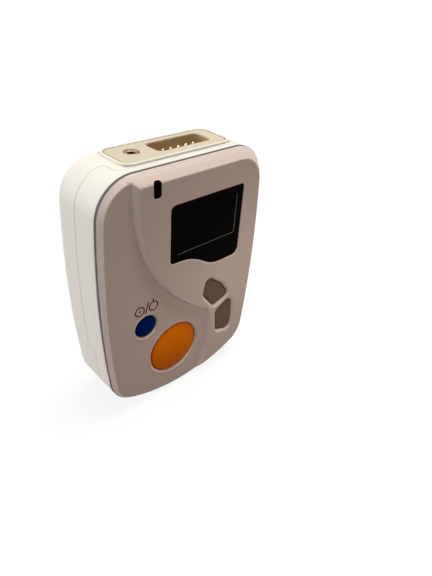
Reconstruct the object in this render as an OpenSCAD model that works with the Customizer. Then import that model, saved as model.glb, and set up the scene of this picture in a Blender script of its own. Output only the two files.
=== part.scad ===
// Pocket ECG recorder standing upright: X to the right, Y to the back, Z up.
// The origin lies under the middle of the case, on the surface it stands on.

/* [Case] */
// Height of the case without the connector rim
case_h = 75; // [73:0.5:80]
// Width of the case at its widest
case_w = 55.6; // [55:0.2:60]
// Depth from the raised front face to the flat back
case_d = 20.8; // [20.8:0.2:24]
// How far each side bows out at mid height
side_bow = 1.95; // [1:0.05:3]
// How far the bottom bows down in the middle
bottom_bow = 7.2; // [5:0.1:8]
// Radius of the two top corners
top_corner_r = 10.6; // [8:0.1:12]
// Radius of the two bottom corners
bottom_corner_r = 10.5; // [8:0.1:12]
// Radius of the edge round the back
back_edge_r = 2.9; // [2:0.1:3.5]
// Thickness of the moulded walls
wall = 1.6; // [1.4:0.1:1.8]

/* [Front] */
// Height of the raised display side above the seam
raised_h = 2.9; // [2.6:0.1:3.2]
// Height of the low button side above the seam
low_h = 1.5; // [1.5:0.1:1.8]
// Width of the slope between the two levels
step_run = 1.3; // [0.8:0.1:1.6]
// Width of the display window
window_w = 25.5; // [24:0.1:26]
// Radius of the event button
event_r = 8.4; // [7:0.1:8.6]
// Radius of the power button
power_r = 3.3; // [3:0.1:3.6]
// Play round the buttons in their holes
button_play = 0.25; // [0.2:0.05:0.35]
// Depth of the sloped rims round the round buttons
rim_drop = 0.35; // [0.2:0.05:0.5]
// Depth of the sloped rims round the two keys
key_drop = 0.55; // [0.3:0.05:0.7]
// Travel of the event button
event_travel = 0.8; // [0.4:0.1:0.9]
// Travel of the three small buttons
small_travel = 0.6; // [0.4:0.1:0.8]

/* [Top] */
// Length of the beige connector plate
plate_l = 33; // [32:0.2:34]
// Width of the beige connector plate
plate_w = 11.1; // [10.5:0.1:11.5]
// Length of the socket recess
socket_l = 17.4; // [16:0.1:18]
// Width of the socket recess
socket_w = 6.6; // [6:0.1:7]
// Distance between neighbouring pins
pin_pitch = 2.54; // [2.4:0.01:2.8]
// Number of pins
pin_count = 5; // [3:1:5]

/* [Battery bay] */
// Height of the battery door's upper edge
door_top = 24; // [23.5:0.1:25]
// Diameter of the AAA cell
cell_d = 10.5; // [10:0.1:10.5]
// Length of the AAA cell with its terminal
cell_l = 44.5; // [43.5:0.1:44.5]

/* [Hidden] */
$fn = 64;

// Levels from the front to the back
front_y = -case_d / 2;
seam_y = front_y + raised_h;
low_y = seam_y - low_h;
tongue_front_y = seam_y + 2.6;
board_front_y = seam_y + 3.1;
door_front_y = seam_y + 5.7;
parting_y = seam_y + 8.75;
case_post_y = seam_y + 9;
back_y = case_d / 2;

// Clearances between parts pushed together and round the battery door
fit = 0.05;
gap = 0.15;
// How far a cut runs past the face that it opens
over = 1;

// Circles that the outline is drawn from
half_w = case_w / 2;
frame_x = half_w - side_bow;
side_mid_z = (case_h + bottom_bow) / 2;
side_r = (pow((case_h - bottom_bow) / 2, 2) + pow(side_bow, 2)) / (2 * side_bow);
side_cx = half_w - side_r;
bottom_r = (pow(frame_x, 2) + pow(bottom_bow, 2)) / (2 * bottom_bow);

// Centres of the corner fillets, and the angles where the arcs meet
top_fz = case_h - top_corner_r;
top_fx = side_cx + sqrt(pow(side_r - top_corner_r, 2) - pow(top_fz - side_mid_z, 2));
low_f = meet([0, bottom_r], bottom_r - bottom_corner_r, [side_cx, side_mid_z], side_r - bottom_corner_r);
a_top = atan2(top_fz - side_mid_z, top_fx - side_cx);
a_low = atan2(low_f[1] - side_mid_z, low_f[0] - side_cx);
a_bottom = atan2(low_f[1] - bottom_r, low_f[0]);

// Lower crossing of two circles given by centre and radius, the second one far to the left
function meet(a, ra, b, rb) =
    let (d = norm(b - a), u = (b - a) / d, m = (ra * ra - rb * rb + d * d) / (2 * d))
    a + u * m - sqrt(ra * ra - m * m) * [u[1], -u[0]];

function arc(c, r, a0, a1, n) = [for (i = [0 : n - 1]) let (a = a0 + (a1 - a0) * i / n)
    c + r * [cos(a), sin(a)]];

// Right half of the case outline, drawn inwards by d, from the bottom middle to the top
function right_half(d) = concat(
    arc([0, bottom_r], bottom_r - d, -90, a_bottom, 5),
    arc(low_f, bottom_corner_r - d, a_bottom, a_low, 8),
    arc([side_cx, side_mid_z], side_r - d, a_low, a_top, 7),
    arc([top_fx, top_fz], top_corner_r - d, a_top, 90, 9),
    [[top_fx, case_h - d]]);

function reversed(list) = [for (i = [len(list) - 1 : -1 : 0]) list[i]];
function flip(points) = [for (i = [len(points) - 1 : -1 : 1]) [-points[i][0], points[i][1]]];
function outline(d) = concat(right_half(d), flip(right_half(d)));

// Points on a cubic curve from p0 to p3
function curve(p0, p1, p2, p3, n) = [for (i = [0 : n]) let (t = i / n, s = 1 - t)
    s * s * s * p0 + 3 * s * s * t * p1 + 3 * s * t * t * p2 + t * t * t * p3];

// Outline round corner circles, each [x, z, radius], grown by d. Along each direction the furthest circle
// counts, and a straight edge runs from one circle to the next
function furthest(list, a) = let (reaches = [for (c = list) c[0] * cos(a) + c[1] * sin(a) + c[2]])
    list[search(max(reaches), reaches)[0]];
function on_circle(c, a, d) = [c[0], c[1]] + (c[2] + d) * [cos(a), sin(a)];
function facing(c, e) = let (v = [e[0] - c[0], e[1] - c[1]]) atan2(v[1], v[0]) - acos((c[2] - e[2]) / norm(v));
function blob(list, d = 0, step = 10) = [for (a = [0 : step : 360 - step])
    let (c = furthest(list, a), e = furthest(list, a + step))
    each c == e ? [on_circle(c, a, d)]
        : [on_circle(c, a, d), on_circle(c, facing(c, e), d), on_circle(e, facing(c, e), d)]];

// Extrudes a shape drawn in X and Z from y0 to y1
module along_y(y0, y1) {
    translate([0, y1, 0]) rotate([90, 0, 0]) linear_extrude(y1 - y0) children();
}

// Round bar along Y
module bar(p, y0, y1, r) {
    translate([p[0], y0, p[1]]) rotate([-90, 0, 0]) cylinder(r = r, h = y1 - y0);
}

// Solid through a list of [y, loop] slices, whose loops run anticlockwise and have as many points each
module loft(slices) {
    n = len(slices[0][1]);
    m = len(slices);
    points = [for (s = slices) for (p = s[1]) [p[0], s[0], p[1]]];
    sides = [for (k = [0 : m - 2]) for (i = [0 : n - 1]) let (j = (i + 1) % n)
        [k * n + i, k * n + j, (k + 1) * n + j, (k + 1) * n + i]];
    caps = [[for (i = [n - 1 : -1 : 0]) i], [for (i = [0 : n - 1]) (m - 1) * n + i]];
    faces = concat(sides, caps);
    forward = slices[m - 1][0] < slices[0][0];
    polyhedron(points, forward ? [for (f = faces) reversed(f)] : faces);
}

// Solid through [y, inset] slices of the case outline
module skin(slices) {
    loft([for (s = slices) [s[0], outline(s[1])]]);
}

// Rounded rectangle centred on c
module round_rect(c, size, r) {
    translate(c) hull() for (x = [-1, 1]) for (y = [-1, 1])
        translate([x * (size[0] / 2 - r), y * (size[1] / 2 - r)]) circle(r, $fn = 24);
}

// The step between the levels: down from the top edge, across to the keys, down to the bottom
function step_path() = concat(
    [[-17.35, case_h + 3]],
    curve([-17.35, 71], [-17.35, 49.7], [-7, 37.4], [7, 26.7], 14),
    curve([7.8, 25.2], [8.9, 19], [8.8, 9], [5, 0], 8),
    [[4.2, -2]]);
function normal_at(p, i) = let (a = p[max(i - 1, 0)], b = p[min(i + 1, len(p) - 1)], d = (b - a) / norm(b - a))
    [-d[1], d[0]];
// Step path moved sideways, towards the raised side for a positive d, and closed round the low side
far_left = -1.2 * case_w;
function low_side(d) = let (p = step_path())
    concat([[far_left, case_h + 3], [far_left, -2]],
        reversed([for (i = [0 : len(p) - 1]) p[i] + normal_at(p, i) * d]));

// Everything in front of the low level on the button side, with its sloped edge
module low_region() {
    run = step_run / 2;
    slope = step_run / (raised_h - low_h);
    loft([[low_y, low_side(-run)], [front_y - over, low_side(run + slope * over)]]);
}

// Places of the buttons on the front, in X and Z
event_c = [-4.7, 16.8];
power_c = [-14.85, 30.4];
up_c = [9.9, 31.8];
down_c = [14.9, 19.4];
up_corners = [[7.6, 35.9, 1.5], [14, 29.3, 1.4], [10.7, 28.1, 1.5], [7.1, 32.8, 1.5],
    [10.9, 31.6, 2.8]];
down_corners = [[13.2, 22.6, 1.8], [16.1, 23.9, 1.9], [16.6, 15.4, 1.7], [13.8, 16.5, 1.8],
    [15.2, 19, 3.2]];

// Sloped rims round the holes: centre, radius and width of the round ones, and the keys' width for their depth
round_rims = [[event_c, event_r, 0.8], [power_c, power_r, 0.5]];
key_slope = 1.25;

// Display window, its view and the glass behind it, in X and Z
window_left = -7.6;
window_top = 65.3;
window_bottom = 43.1;
window_y = front_y + 0.1;
window_t = 0.95;
window_play = 0.08;
view_c = [4.8, 57.2];
view_size = [22.4, 13.6];
display_c = [4.9, 56.6];
glass_size = [26.7, 19.3];
glass_t = 1.4;
glass_play = 0.85;
raised_wall = 1.5;
foam_t = 0.5;
glass_y = front_y + raised_wall + foam_t;
glass_back_y = glass_y + glass_t;

// Outline of the display window, with its curved lower edge
module window_shape(d = 0) {
    left = window_left;
    right = window_left + window_w;
    top = window_top;
    bottom = window_bottom;
    offset(delta = d) polygon(concat(
        curve([left, top - 1.6], [left, top - 0.5], [left + 0.5, top], [left + 1.7, top], 4),
        curve([right - 0.9, top], [right - 0.3, top], [right, top - 0.3], [right, top - 0.9], 3),
        curve([right, bottom + 2.2], [right, bottom + 0.8], [right - 0.9, bottom], [right - 2.3, bottom], 4),
        curve([10.6, bottom], [4.6, bottom], [3.2, 48.4], [-4.9, 48.5], 8),
        curve([left + 1, 48.6], [left + 0.3, 48.7], [left, 49], [left, 49.8], 3)));
}

// Pill-shaped slot of the indicator lamp
pill_c = [-11.7, 70.9];
pill_w = 2;
pill_h = 3.8;
module pill_shape(d = 0) {
    for (z = [-1, 1]) translate(pill_c + [0, z * (pill_h - pill_w) / 2]) circle(pill_w / 2 + d);
    translate(pill_c) square([pill_w + 2 * d, pill_h - pill_w], center = true);
}

// Posts for the main board, the upper two and the two under the tray, and the posts of the case screws
upper_posts = [[-20, 48], [21.8, 43.5]];
tray_posts = [[-17.5, 10.2], [17, 9]];
board_posts = concat(upper_posts, tray_posts);
case_posts = [[-21.6, 62.5], [21.6, 62.5], [-22.6, 29], [22.6, 29]];
board_post_r = 1.9;
case_post_r = 2.4;
pilot_r = 0.85;
screw_r = 1;
post_floor = 0.2;

// Hollow round post along Y
module post(p, y0, y1, r) {
    translate([p[0], y0, p[1]]) rotate([-90, 0, 0]) difference() {
        cylinder(r = r, h = y1 - y0);
        translate([0, 0, post_floor]) cylinder(r = pilot_r, h = y1 - y0);
    }
}

// Chamfered front cover, with the raised display side and the low button side
lip_h = 1.6;
lip_t = 1;
module front_cover() {
    color("#cbbdb3") {
        difference() {
            skin([[seam_y, 0], [front_y, raised_h]]);
            low_region();
            along_y(front_y - over, window_y + window_t) window_shape(window_play);
            along_y(front_y - over, seam_y + over) round_rect(view_c, view_size, 1);
            along_y(front_y + raised_wall, seam_y + over)
                round_rect(display_c, glass_size + 2 * [glass_play, glass_play], 1.2);
            along_y(front_y - over, seam_y + over) pill_shape(fit);
            for (b = round_rims) {
                bar(b[0], low_y - over, seam_y + over, b[1] + button_play);
                translate([b[0][0], low_y, b[0][1]]) rotate([-90, 0, 0])
                    cylinder(r1 = b[1] + button_play + b[2], r2 = b[1] + button_play, h = rim_drop);
            }
            for (key = [up_corners, down_corners]) loft([[seam_y + over, blob(key, button_play)],
                [front_y + key_drop, blob(key, button_play)],
                [front_y - over, blob(key, button_play + key_slope * (key_drop + over))]]);
        }
        // Lip that enters the middle frame
        along_y(seam_y, seam_y + lip_h) difference() {
            polygon(outline(wall + fit));
            polygon(outline(wall + fit + lip_t));
        }
        for (p = board_posts) post(p, seam_y, board_front_y, board_post_r);
        for (p = case_posts) post(p, seam_y, case_post_y, case_post_r);
    }
}

// Thin dark seal that shows as the line between the cover and the middle frame
seal_inset = 0.45;
seal_t = 0.5;
seal_room = 0.6;
module seam_gasket() {
    color("#6f6862") along_y(seam_y, seam_y + seal_t) difference() {
        polygon(outline(seal_inset));
        polygon(outline(wall + fit));
    }
}

// Top-view area where the rear shell reaches forward round the connector plate
plate_c = [0.7, 2];
tongue_half = 19.2;
tongue_play = 0.02;
module tongue_area(d = 0) {
    x0 = plate_c[0] - tongue_half;
    x1 = plate_c[0] + tongue_half;
    y0 = tongue_front_y;
    y1 = parting_y;
    offset(delta = d) polygon(concat(
        curve([x0 - 3.2, y1], [x0 - 1.4, y1 - 0.1], [x0 - 0.3, y1 - 0.6], [x0 - 0.1, y1 - 2.4], 5),
        curve([x0, y0 + 1.9], [x0 + 0.1, y0 + 0.6], [x0 + 0.8, y0], [x0 + 2.4, y0], 5),
        curve([x1 - 2.4, y0], [x1 - 0.8, y0], [x1 - 0.1, y0 + 0.6], [x1, y0 + 1.9], 5),
        curve([x1 + 0.1, y1 - 2.4], [x1 + 0.3, y1 - 0.6], [x1 + 1.4, y1 - 0.1], [x1 + 3.2, y1], 5),
        [[x1 + 3.2, y1 + over], [x0 - 3.2, y1 + over]]));
}
module tongue_zone(d = 0) {
    translate([0, 0, case_h - top_corner_r / 2]) linear_extrude(case_h) tongue_area(d);
}

// Solid outer form from a given level to the rounded back, and the hollow inside it
function rounded_back(y0, inset, r, y1) = concat([[y0, inset]],
    [for (a = [0 : 18 : 90]) [y1 - r + r * sin(a), inset + r * (1 - cos(a))]]);
module outer_form(y0) { skin(rounded_back(y0, 0, back_edge_r, back_y)); }
module inner_form(y0) { skin(rounded_back(y0, wall, back_edge_r - wall, back_y - wall)); }

// Everything below or above a height
module below(z) { translate([-case_w, -case_d, -case_h]) cube([2 * case_w, 2 * case_d, case_h + z]); }
module above(z) { translate([-case_w, -case_d, z]) cube([2 * case_w, 2 * case_d, case_h]); }

// Ring of the case sides between the front cover and the rear shell
module middle_frame() {
    color("#efe9e1") difference() {
        along_y(seam_y + seal_room, parting_y) difference() {
            polygon(outline(0));
            polygon(outline(wall));
        }
        intersection() {
            below(door_top + gap);
            translate([-case_w, door_front_y - gap, -over]) cube([2 * case_w, case_d, case_h]);
        }
        tongue_zone(tongue_play);
    }
}

// Back half of the case above the battery door, with the raised rim round the connector plate
rim_h = 0.6;
rim_w = 0.75;
rim_corner_r = 3.2;
plate_corner_r = 2.4;
head_seat_y = 5.5;
head_well_r = 2.1;
boss_r = 2.6;
module rear_shell() {
    color("#f1ece4") difference() {
        union() {
            difference() {
                union() {
                    outer_form(parting_y);
                    intersection() {
                        along_y(tongue_front_y - over, parting_y + over) polygon(outline(0));
                        tongue_zone();
                    }
                    translate([0, 0, case_h - wall]) linear_extrude(wall + rim_h)
                        round_rect(plate_c, [plate_l + 2 * rim_w, plate_w + 2 * rim_w], rim_corner_r);
                }
                inner_form(tongue_front_y - 2 * over);
                below(door_top + gap);
            }
            for (p = case_posts) bar(p, case_post_y, back_y - wall, boss_r);
        }
        translate([0, 0, case_h - wall - over]) linear_extrude(case_h)
            round_rect(plate_c, [plate_l, plate_w], plate_corner_r);
        for (p = case_posts) {
            bar(p, case_post_y - over, back_y + over, screw_r + 2 * fit);
            bar(p, head_seat_y, back_y + over, head_well_r);
        }
    }
}

// Hooks on the tray, and the grooves in the door that slide over them
tray_x = 24.3;
tray_wall = 0.9;
hook_z = 17.5;
hook_h = 5.8;
hook_t = 0.8;
hook_reach = 1.55;
hook_l = hook_reach + tray_wall / 2;
hook_y = door_front_y + 1.3;
groove_x = 25;
groove_w = 1.2;

// Cup-shaped door that slides down off the battery bay, with grip grooves on its back
grip_r = 0.6;
grip_l = 15;
grip_z = 12.5;
grip_pitch = 2.2;
grip_count = 4;
module battery_door() {
    color("#ece5dc") difference() {
        outer_form(door_front_y);
        inner_form(door_front_y - over);
        above(door_top);
        for (s = [-1, 1]) translate([s * (groove_x + groove_w / 2), hook_y, hook_z - 2 * gap + case_h / 2])
            cube([groove_w, hook_t + 2 * gap, case_h], center = true);
        for (i = [0 : grip_count - 1]) translate([0, back_y, grip_z + grip_pitch * i]) rotate([0, 90, 0])
            cylinder(r = grip_r, h = grip_l, center = true);
    }
}

// Socket and thread on the connector plate, which is held under the shell by a flange
plate_top_z = case_h + rim_h - 0.1;
plate_play = 0.1;
flange_top_z = case_h - wall - 0.3;
plate_flange_t = 1.2;
socket_c = [4.6, 2.1];
socket_floor_z = case_h - 6.5;
socket_floor_t = 1.2;
socket_corner_r = 1.6;
socket_wall = 1.2;
insert_c = [-9.9, 2.25];
insert_r = 2;
insert_l = 5;
boss_wall = 1.15;
pin_r = 0.45;
module connector_plate() {
    color("#ddceb0") difference() {
        union() {
            translate([0, 0, flange_top_z]) linear_extrude(plate_top_z - flange_top_z)
                round_rect(plate_c, [plate_l, plate_w] - [plate_play, plate_play], plate_corner_r - plate_play / 2);
            translate([0, 0, flange_top_z - plate_flange_t]) linear_extrude(plate_flange_t)
                round_rect(plate_c - [0, 0.4], [plate_l + 2, plate_w + 1.2], 3);
            translate([0, 0, socket_floor_z - socket_floor_t]) linear_extrude(case_h - wall - socket_floor_z)
                round_rect(socket_c, [socket_l, socket_w] + 2 * [socket_wall, socket_wall], socket_corner_r + 1);
            translate([insert_c[0], insert_c[1], plate_top_z - insert_l - 1.5])
                cylinder(r = insert_r + boss_wall, h = insert_l);
        }
        translate([0, 0, socket_floor_z]) linear_extrude(case_h)
            round_rect(socket_c, [socket_l, socket_w], socket_corner_r);
        translate([insert_c[0], insert_c[1], plate_top_z - insert_l]) cylinder(r = insert_r, h = case_h);
        for (i = [0 : pin_count - 1]) translate(pin_place(i))
            cylinder(r = pin_r + fit, h = 3 * socket_floor_t, center = true);
    }
}
function pin_place(i) = [socket_c[0] + (i - (pin_count - 1) / 2) * pin_pitch, socket_c[1], socket_floor_z];

// Black block under the socket that holds the pins
block_w = 5;
block_t = 1.4;
block_top_z = socket_floor_z - socket_floor_t;
block_bottom_z = block_top_z - block_t;
module contact_block() {
    color("#26262a") difference() {
        translate([socket_c[0], socket_c[1], block_top_z - block_t / 2])
            cube([pin_count * pin_pitch + socket_wall, block_w, block_t], center = true);
        for (i = [0 : pin_count - 1]) translate(pin_place(i)) cylinder(r = pin_r, h = 8, center = true);
    }
}

// Contact pins with domed tips, which reach down through the small board
strip_t = 1;
pin_tip_z = case_h - 0.55;
module connector_pins() {
    foot_z = block_bottom_z - strip_t;
    pin_l = pin_tip_z - foot_z - pin_r;
    color("#d9c17a") for (i = [0 : pin_count - 1]) translate([pin_place(i)[0], pin_place(i)[1], foot_z]) {
        cylinder(r = pin_r, h = pin_l);
        translate([0, 0, pin_l]) sphere(pin_r);
    }
}

// Brass insert for the screw of the patient cable's plug
thread_r = 1.03;
insert_floor = 0.5;
module thread_insert() {
    color("#b08a4a") translate([insert_c[0], insert_c[1], plate_top_z - insert_l]) difference() {
        cylinder(r = insert_r, h = insert_l);
        translate([0, 0, insert_floor]) cylinder(r = thread_r, h = insert_l);
    }
}

// Small board that carries the contact block and meets the main board
board_t = 1.2;
board_back_y = board_front_y + board_t;
strip_size = [20, 9.6];
module connector_board() {
    color("#2f6b3c") difference() {
        translate([socket_c[0] - strip_size[0] / 2, board_back_y, block_bottom_z - strip_t])
            cube([strip_size[0], strip_size[1], strip_t]);
        for (i = [0 : pin_count - 1]) translate(pin_place(i)) cylinder(r = pin_r, h = 20, center = true);
    }
}

module display_window() {
    color("#0c0b0b") along_y(window_y, window_y + window_t) window_shape();
}

// Foam frame between the cover and the display glass
module display_gasket() {
    color("#2b2b2b") along_y(front_y + raised_wall, glass_y) difference() {
        translate(display_c) square(glass_size - [0.7, 0.7], center = true);
        translate(view_c) square(view_size + [0.8, 0.8], center = true);
    }
}
module display_glass() {
    color("#1b2026") along_y(glass_y, glass_back_y) translate(display_c)
        square(glass_size, center = true);
}

// Frame that holds the glass off the board
holder_wall = 1.2;
module display_holder() {
    color("#3a3a3c") along_y(glass_back_y, board_front_y) translate(display_c) difference() {
        square(glass_size + [0.3, 0.3], center = true);
        square(glass_size + [0.3, 0.3] - 2 * [holder_wall, holder_wall], center = true);
    }
}

// Ribbon from the lower edge of the glass, back to the board and down it
ribbon_w = 10;
ribbon_t = 0.15;
ribbon_drop = 1.7;
ribbon_foot = 2;
module display_ribbon() {
    y = glass_back_y - 0.4;
    color("#b5792c") translate([0, 0, display_c[1] - glass_size[1] / 2 - ribbon_drop]) {
        translate([0, y, 0]) cube([ribbon_w, ribbon_t, ribbon_drop]);
        translate([0, y, -ribbon_t]) cube([ribbon_w, board_front_y - y, ribbon_t]);
        translate([0, board_front_y - ribbon_t, -ribbon_foot]) cube([ribbon_w, ribbon_t, ribbon_foot]);
    }
}

// Light guide behind the pill-shaped slot, held by a flange behind the cover
guide_flange = 0.7;
guide_flange_t = 0.6;
guide_r = 0.9;
lamp_h = 1;
module indicator_window() {
    color("#121214") {
        along_y(front_y + 0.65, seam_y) pill_shape();
        along_y(seam_y, seam_y + guide_flange_t) intersection() {
            pill_shape(guide_flange);
            polygon(outline(wall + lip_t + 0.3));
        }
        along_y(seam_y, board_front_y - lamp_h) translate(pill_c) circle(guide_r);
    }
}
module indicator_lamp() {
    color("#e8e4c8") along_y(board_front_y - lamp_h, board_front_y) translate(pill_c - [0, 0.1])
        square([2, 1.2], center = true);
}

// Buttons: a cap in front, a flange behind the cover and a stem that reaches into its switch
button_flange = 1;
key_flange = 0.9;
flange_t = 0.5;
flange_y = seam_y + 0.03;
stem_r = 0.9;
stem_clearance = 0.15;
well_depth = 0.55;
well_y = board_front_y - well_depth;
function stem_tip(travel) = well_y - stem_clearance - travel;
module round_button(c, r, edge_y, top_y, travel) {
    h = edge_y - top_y;
    ball_r = (r * r + h * h) / (2 * h);
    intersection() {
        bar(c, top_y, flange_y, r);
        translate([c[0], top_y + ball_r, c[1]]) rotate([-90, 0, 0]) sphere(ball_r, $fn = 128);
    }
    bar(c, flange_y, flange_y + flange_t, r + button_flange);
    bar(c, flange_y, stem_tip(travel), stem_r);
}
module shaped_button(list, stem_c) {
    along_y(front_y + 0.15, flange_y) polygon(blob(list));
    along_y(flange_y, flange_y + flange_t) polygon(blob(list, key_flange));
    bar(stem_c, flange_y, stem_tip(small_travel), stem_r);
}
module event_button() {
    color("#e07a12") round_button(event_c, event_r, low_y - 0.1, low_y - 0.9, event_travel);
}
module power_button() {
    color("#12306e") round_button(power_c, power_r, low_y - 0.05, low_y - 0.3, small_travel);
}
module up_button() { color("#7b6d5f") shaped_button(up_corners, up_c); }
module down_button() { color("#7b6d5f") shaped_button(down_corners, down_c); }

// Main board with its screw holes and the clearances round the case posts
board_inset = 0.6;
board_top_z = case_h - 3.4;
boss_room = 2.8;
module main_board() {
    color("#2f6b3c") along_y(board_front_y, board_back_y) difference() {
        intersection() {
            polygon(outline(wall + board_inset));
            translate([-case_w, 0]) square([2 * case_w, board_top_z]);
        }
        for (p = board_posts) translate(p) circle(screw_r);
        for (p = case_posts) translate(p) {
            circle(boss_room);
            translate([p[0] > 0 ? 0 : -3 * boss_room, -boss_room]) square([3 * boss_room, 2 * boss_room]);
        }
    }
}

// Square switches, each with a well that its button's stem enters
switch_w = 3.6;
switch_h = board_front_y - flange_y - flange_t - event_travel - stem_clearance;
module push_switches() {
    color("#c9ccd0") for (c = [event_c, power_c, up_c, down_c]) difference() {
        along_y(board_front_y - switch_h, board_front_y) translate(c) square(switch_w, center = true);
        bar(c, board_front_y - switch_h - over, well_y, stem_r + 0.4);
    }
}

// Chips on the back of the board: centre, size and thickness
chips = [[3, 40, 10, 10, 1.2], [16, 47, 7, 5, 1], [16, 39, 5, 5, 1], [-8, 33, 6, 4, 1], [3, 52, 12, 8, 1.2],
    [16, 56, 4, 6, 1.5], [-16, 36, 4, 3, 1.2]];
module board_chips() {
    color("#202225") for (c = chips) along_y(board_back_y, board_back_y + c[4]) translate([c[0], c[1]])
        square([c[2], c[3]], center = true);
}
module shield_can() {
    color("#b9bcc0") along_y(board_back_y, board_back_y + 2.4) round_rect([-12, 58], [13, 11], 0.8);
}

// Sounder with its hole in the middle
sounder_c = [13, 31];
sounder_h = 2.6;
sounder_hole_r = 0.8;
module sounder() {
    color("#18181a") difference() {
        bar(sounder_c, board_back_y, board_back_y + sounder_h, 4.5);
        bar(sounder_c, board_back_y + sounder_h - over, board_back_y + sounder_h + over, sounder_hole_r);
    }
}

// Tray round the cell, with two cradle ribs and the hooks that hold the door
cell_y = 3.4;
cell_z = 15.5;
tray_floor_t = 1;
tray_back_y = 7.4;
tray_top_z = door_top - 1;
floor_y = board_back_y + tray_floor_t;
rib_t = 1.2;
rib_h = 1.6;
rib_l = 9.2;
contact_t = 0.4;
contact_w = 6;
tab_w = 3;
module battery_tray() {
    color("#d8d2c8") {
        difference() {
            intersection() {
                union() {
                    translate([-tray_x, board_back_y, 0]) cube([2 * tray_x, tray_floor_t, tray_top_z]);
                    for (s = [-1, 1]) translate([s * (tray_x - tray_wall / 2) - tray_wall / 2, floor_y, 0])
                        cube([tray_wall, tray_back_y - floor_y, tray_top_z]);
                    translate([-tray_x, floor_y, tray_top_z - tray_floor_t])
                        cube([2 * tray_x, tray_back_y - floor_y, tray_floor_t]);
                    for (x = [-12, 11]) translate([x - rib_t / 2, floor_y, cell_z - rib_l / 2])
                        cube([rib_t, rib_h, rib_l]);
                }
                along_y(-case_d, case_d) polygon(outline(wall + 0.35));
            }
            rotate([0, 90, 0]) translate([-cell_z, cell_y, 0])
                cylinder(r = cell_d / 2, h = 2 * (tray_x - tray_wall), center = true);
            for (p = tray_posts) bar(p, board_back_y - over, floor_y + over, screw_r);
            translate([-tray_x + tray_wall, board_back_y - over, cell_z - tab_w / 2])
                cube([contact_t, tray_floor_t + 2 * over, tab_w]);
        }
        for (s = [-1, 1]) translate([s * (tray_x + hook_reach - hook_l / 2), hook_y, hook_z + hook_h / 2])
            cube([hook_l, hook_t, hook_h], center = true);
    }
}

// Cell lying across the case, its terminal on the left
terminal_r = 1.9;
terminal_l = 1;
module battery_cell() {
    x0 = -tray_x + tray_wall + contact_t;
    color("#3f7a52") translate([x0, cell_y, cell_z]) rotate([0, 90, 0]) {
        translate([0, 0, terminal_l]) cylinder(r = cell_d / 2, h = cell_l - terminal_l);
        cylinder(r = terminal_r, h = terminal_l);
    }
}

// Spring of three turns on its round plate
wire_r = 0.25;
coil_radii = [3, 2.4, 1.8];
module battery_spring() {
    color("#c8cbd0") translate([tray_x - tray_wall, cell_y, cell_z]) rotate([0, -90, 0]) {
        cylinder(r = contact_w / 2 + 0.6, h = contact_t);
        for (k = [0 : len(coil_radii) - 1]) translate([0, 0, contact_t + (2 * k + 1) * wire_r])
            rotate_extrude() translate([coil_radii[k], 0]) circle(wire_r, $fn = 24);
    }
}
module battery_contact() {
    color("#c8cbd0") translate([-tray_x + tray_wall, 0, cell_z]) {
        translate([0, cell_y - contact_w / 2, -contact_w / 2]) cube([contact_t, contact_w, contact_w]);
        translate([0, board_back_y, -tab_w / 2]) cube([contact_t, cell_y - board_back_y, tab_w]);
    }
}

// Screw along Y with a cross slot in its head at the back
module screw(p, tip_y, seat_y, head_r, head_h) {
    bar(p, tip_y, seat_y, pilot_r);
    difference() {
        bar(p, seat_y, seat_y + head_h, head_r);
        for (a = [0, 90]) translate([p[0], seat_y + head_h, p[1]]) rotate([0, a, 0])
            cube([head_r * 1.2, head_h, head_r * 0.3], center = true);
    }
}
board_screw_tip_y = seam_y + 0.6;
case_screw_tip_y = case_post_y - 5.5;
module board_screws() {
    color("#9a9da2") for (p = upper_posts) screw(p, board_screw_tip_y, board_back_y, 1.7, 1);
}
module tray_screws() {
    color("#9a9da2") for (p = tray_posts) screw(p, board_screw_tip_y, floor_y, 1.7, 0.9);
}
module case_screws() {
    color("#9a9da2") for (p = case_posts) screw(p, case_screw_tip_y, head_seat_y, 1.9, 1.2);
}

front_cover();
middle_frame();
rear_shell();
battery_door();
seam_gasket();
connector_plate();
contact_block();
connector_pins();
thread_insert();
connector_board();
display_window();
display_gasket();
display_glass();
display_holder();
display_ribbon();
indicator_window();
indicator_lamp();
event_button();
power_button();
up_button();
down_button();
main_board();
push_switches();
board_chips();
shield_can();
sounder();
battery_tray();
battery_cell();
battery_spring();
battery_contact();
board_screws();
tray_screws();
case_screws();
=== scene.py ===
"""Looks of a pocket ECG recorder: mouldings, buttons, connector, battery bay and finishes."""
import math
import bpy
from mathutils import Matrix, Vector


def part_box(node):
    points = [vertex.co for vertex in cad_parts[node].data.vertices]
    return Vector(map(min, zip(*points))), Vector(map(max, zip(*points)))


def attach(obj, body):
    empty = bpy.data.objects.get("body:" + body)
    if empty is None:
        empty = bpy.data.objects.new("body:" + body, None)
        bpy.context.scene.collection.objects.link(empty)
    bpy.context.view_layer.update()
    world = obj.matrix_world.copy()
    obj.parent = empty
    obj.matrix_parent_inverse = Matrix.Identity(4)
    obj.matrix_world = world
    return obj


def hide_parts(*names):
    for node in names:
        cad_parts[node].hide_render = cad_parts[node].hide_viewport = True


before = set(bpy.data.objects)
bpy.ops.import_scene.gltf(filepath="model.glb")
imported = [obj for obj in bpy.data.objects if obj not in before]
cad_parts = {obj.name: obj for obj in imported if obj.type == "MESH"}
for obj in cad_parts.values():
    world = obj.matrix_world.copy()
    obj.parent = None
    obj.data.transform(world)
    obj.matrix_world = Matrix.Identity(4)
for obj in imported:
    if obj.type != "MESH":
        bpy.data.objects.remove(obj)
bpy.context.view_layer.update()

from types import SimpleNamespace

import bmesh
import bpy
import numpy as np
from bpy.props import FloatProperty, FloatVectorProperty, PointerProperty
from mathutils import Matrix, Vector
from mathutils.geometry import delaunay_2d_cdt

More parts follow.
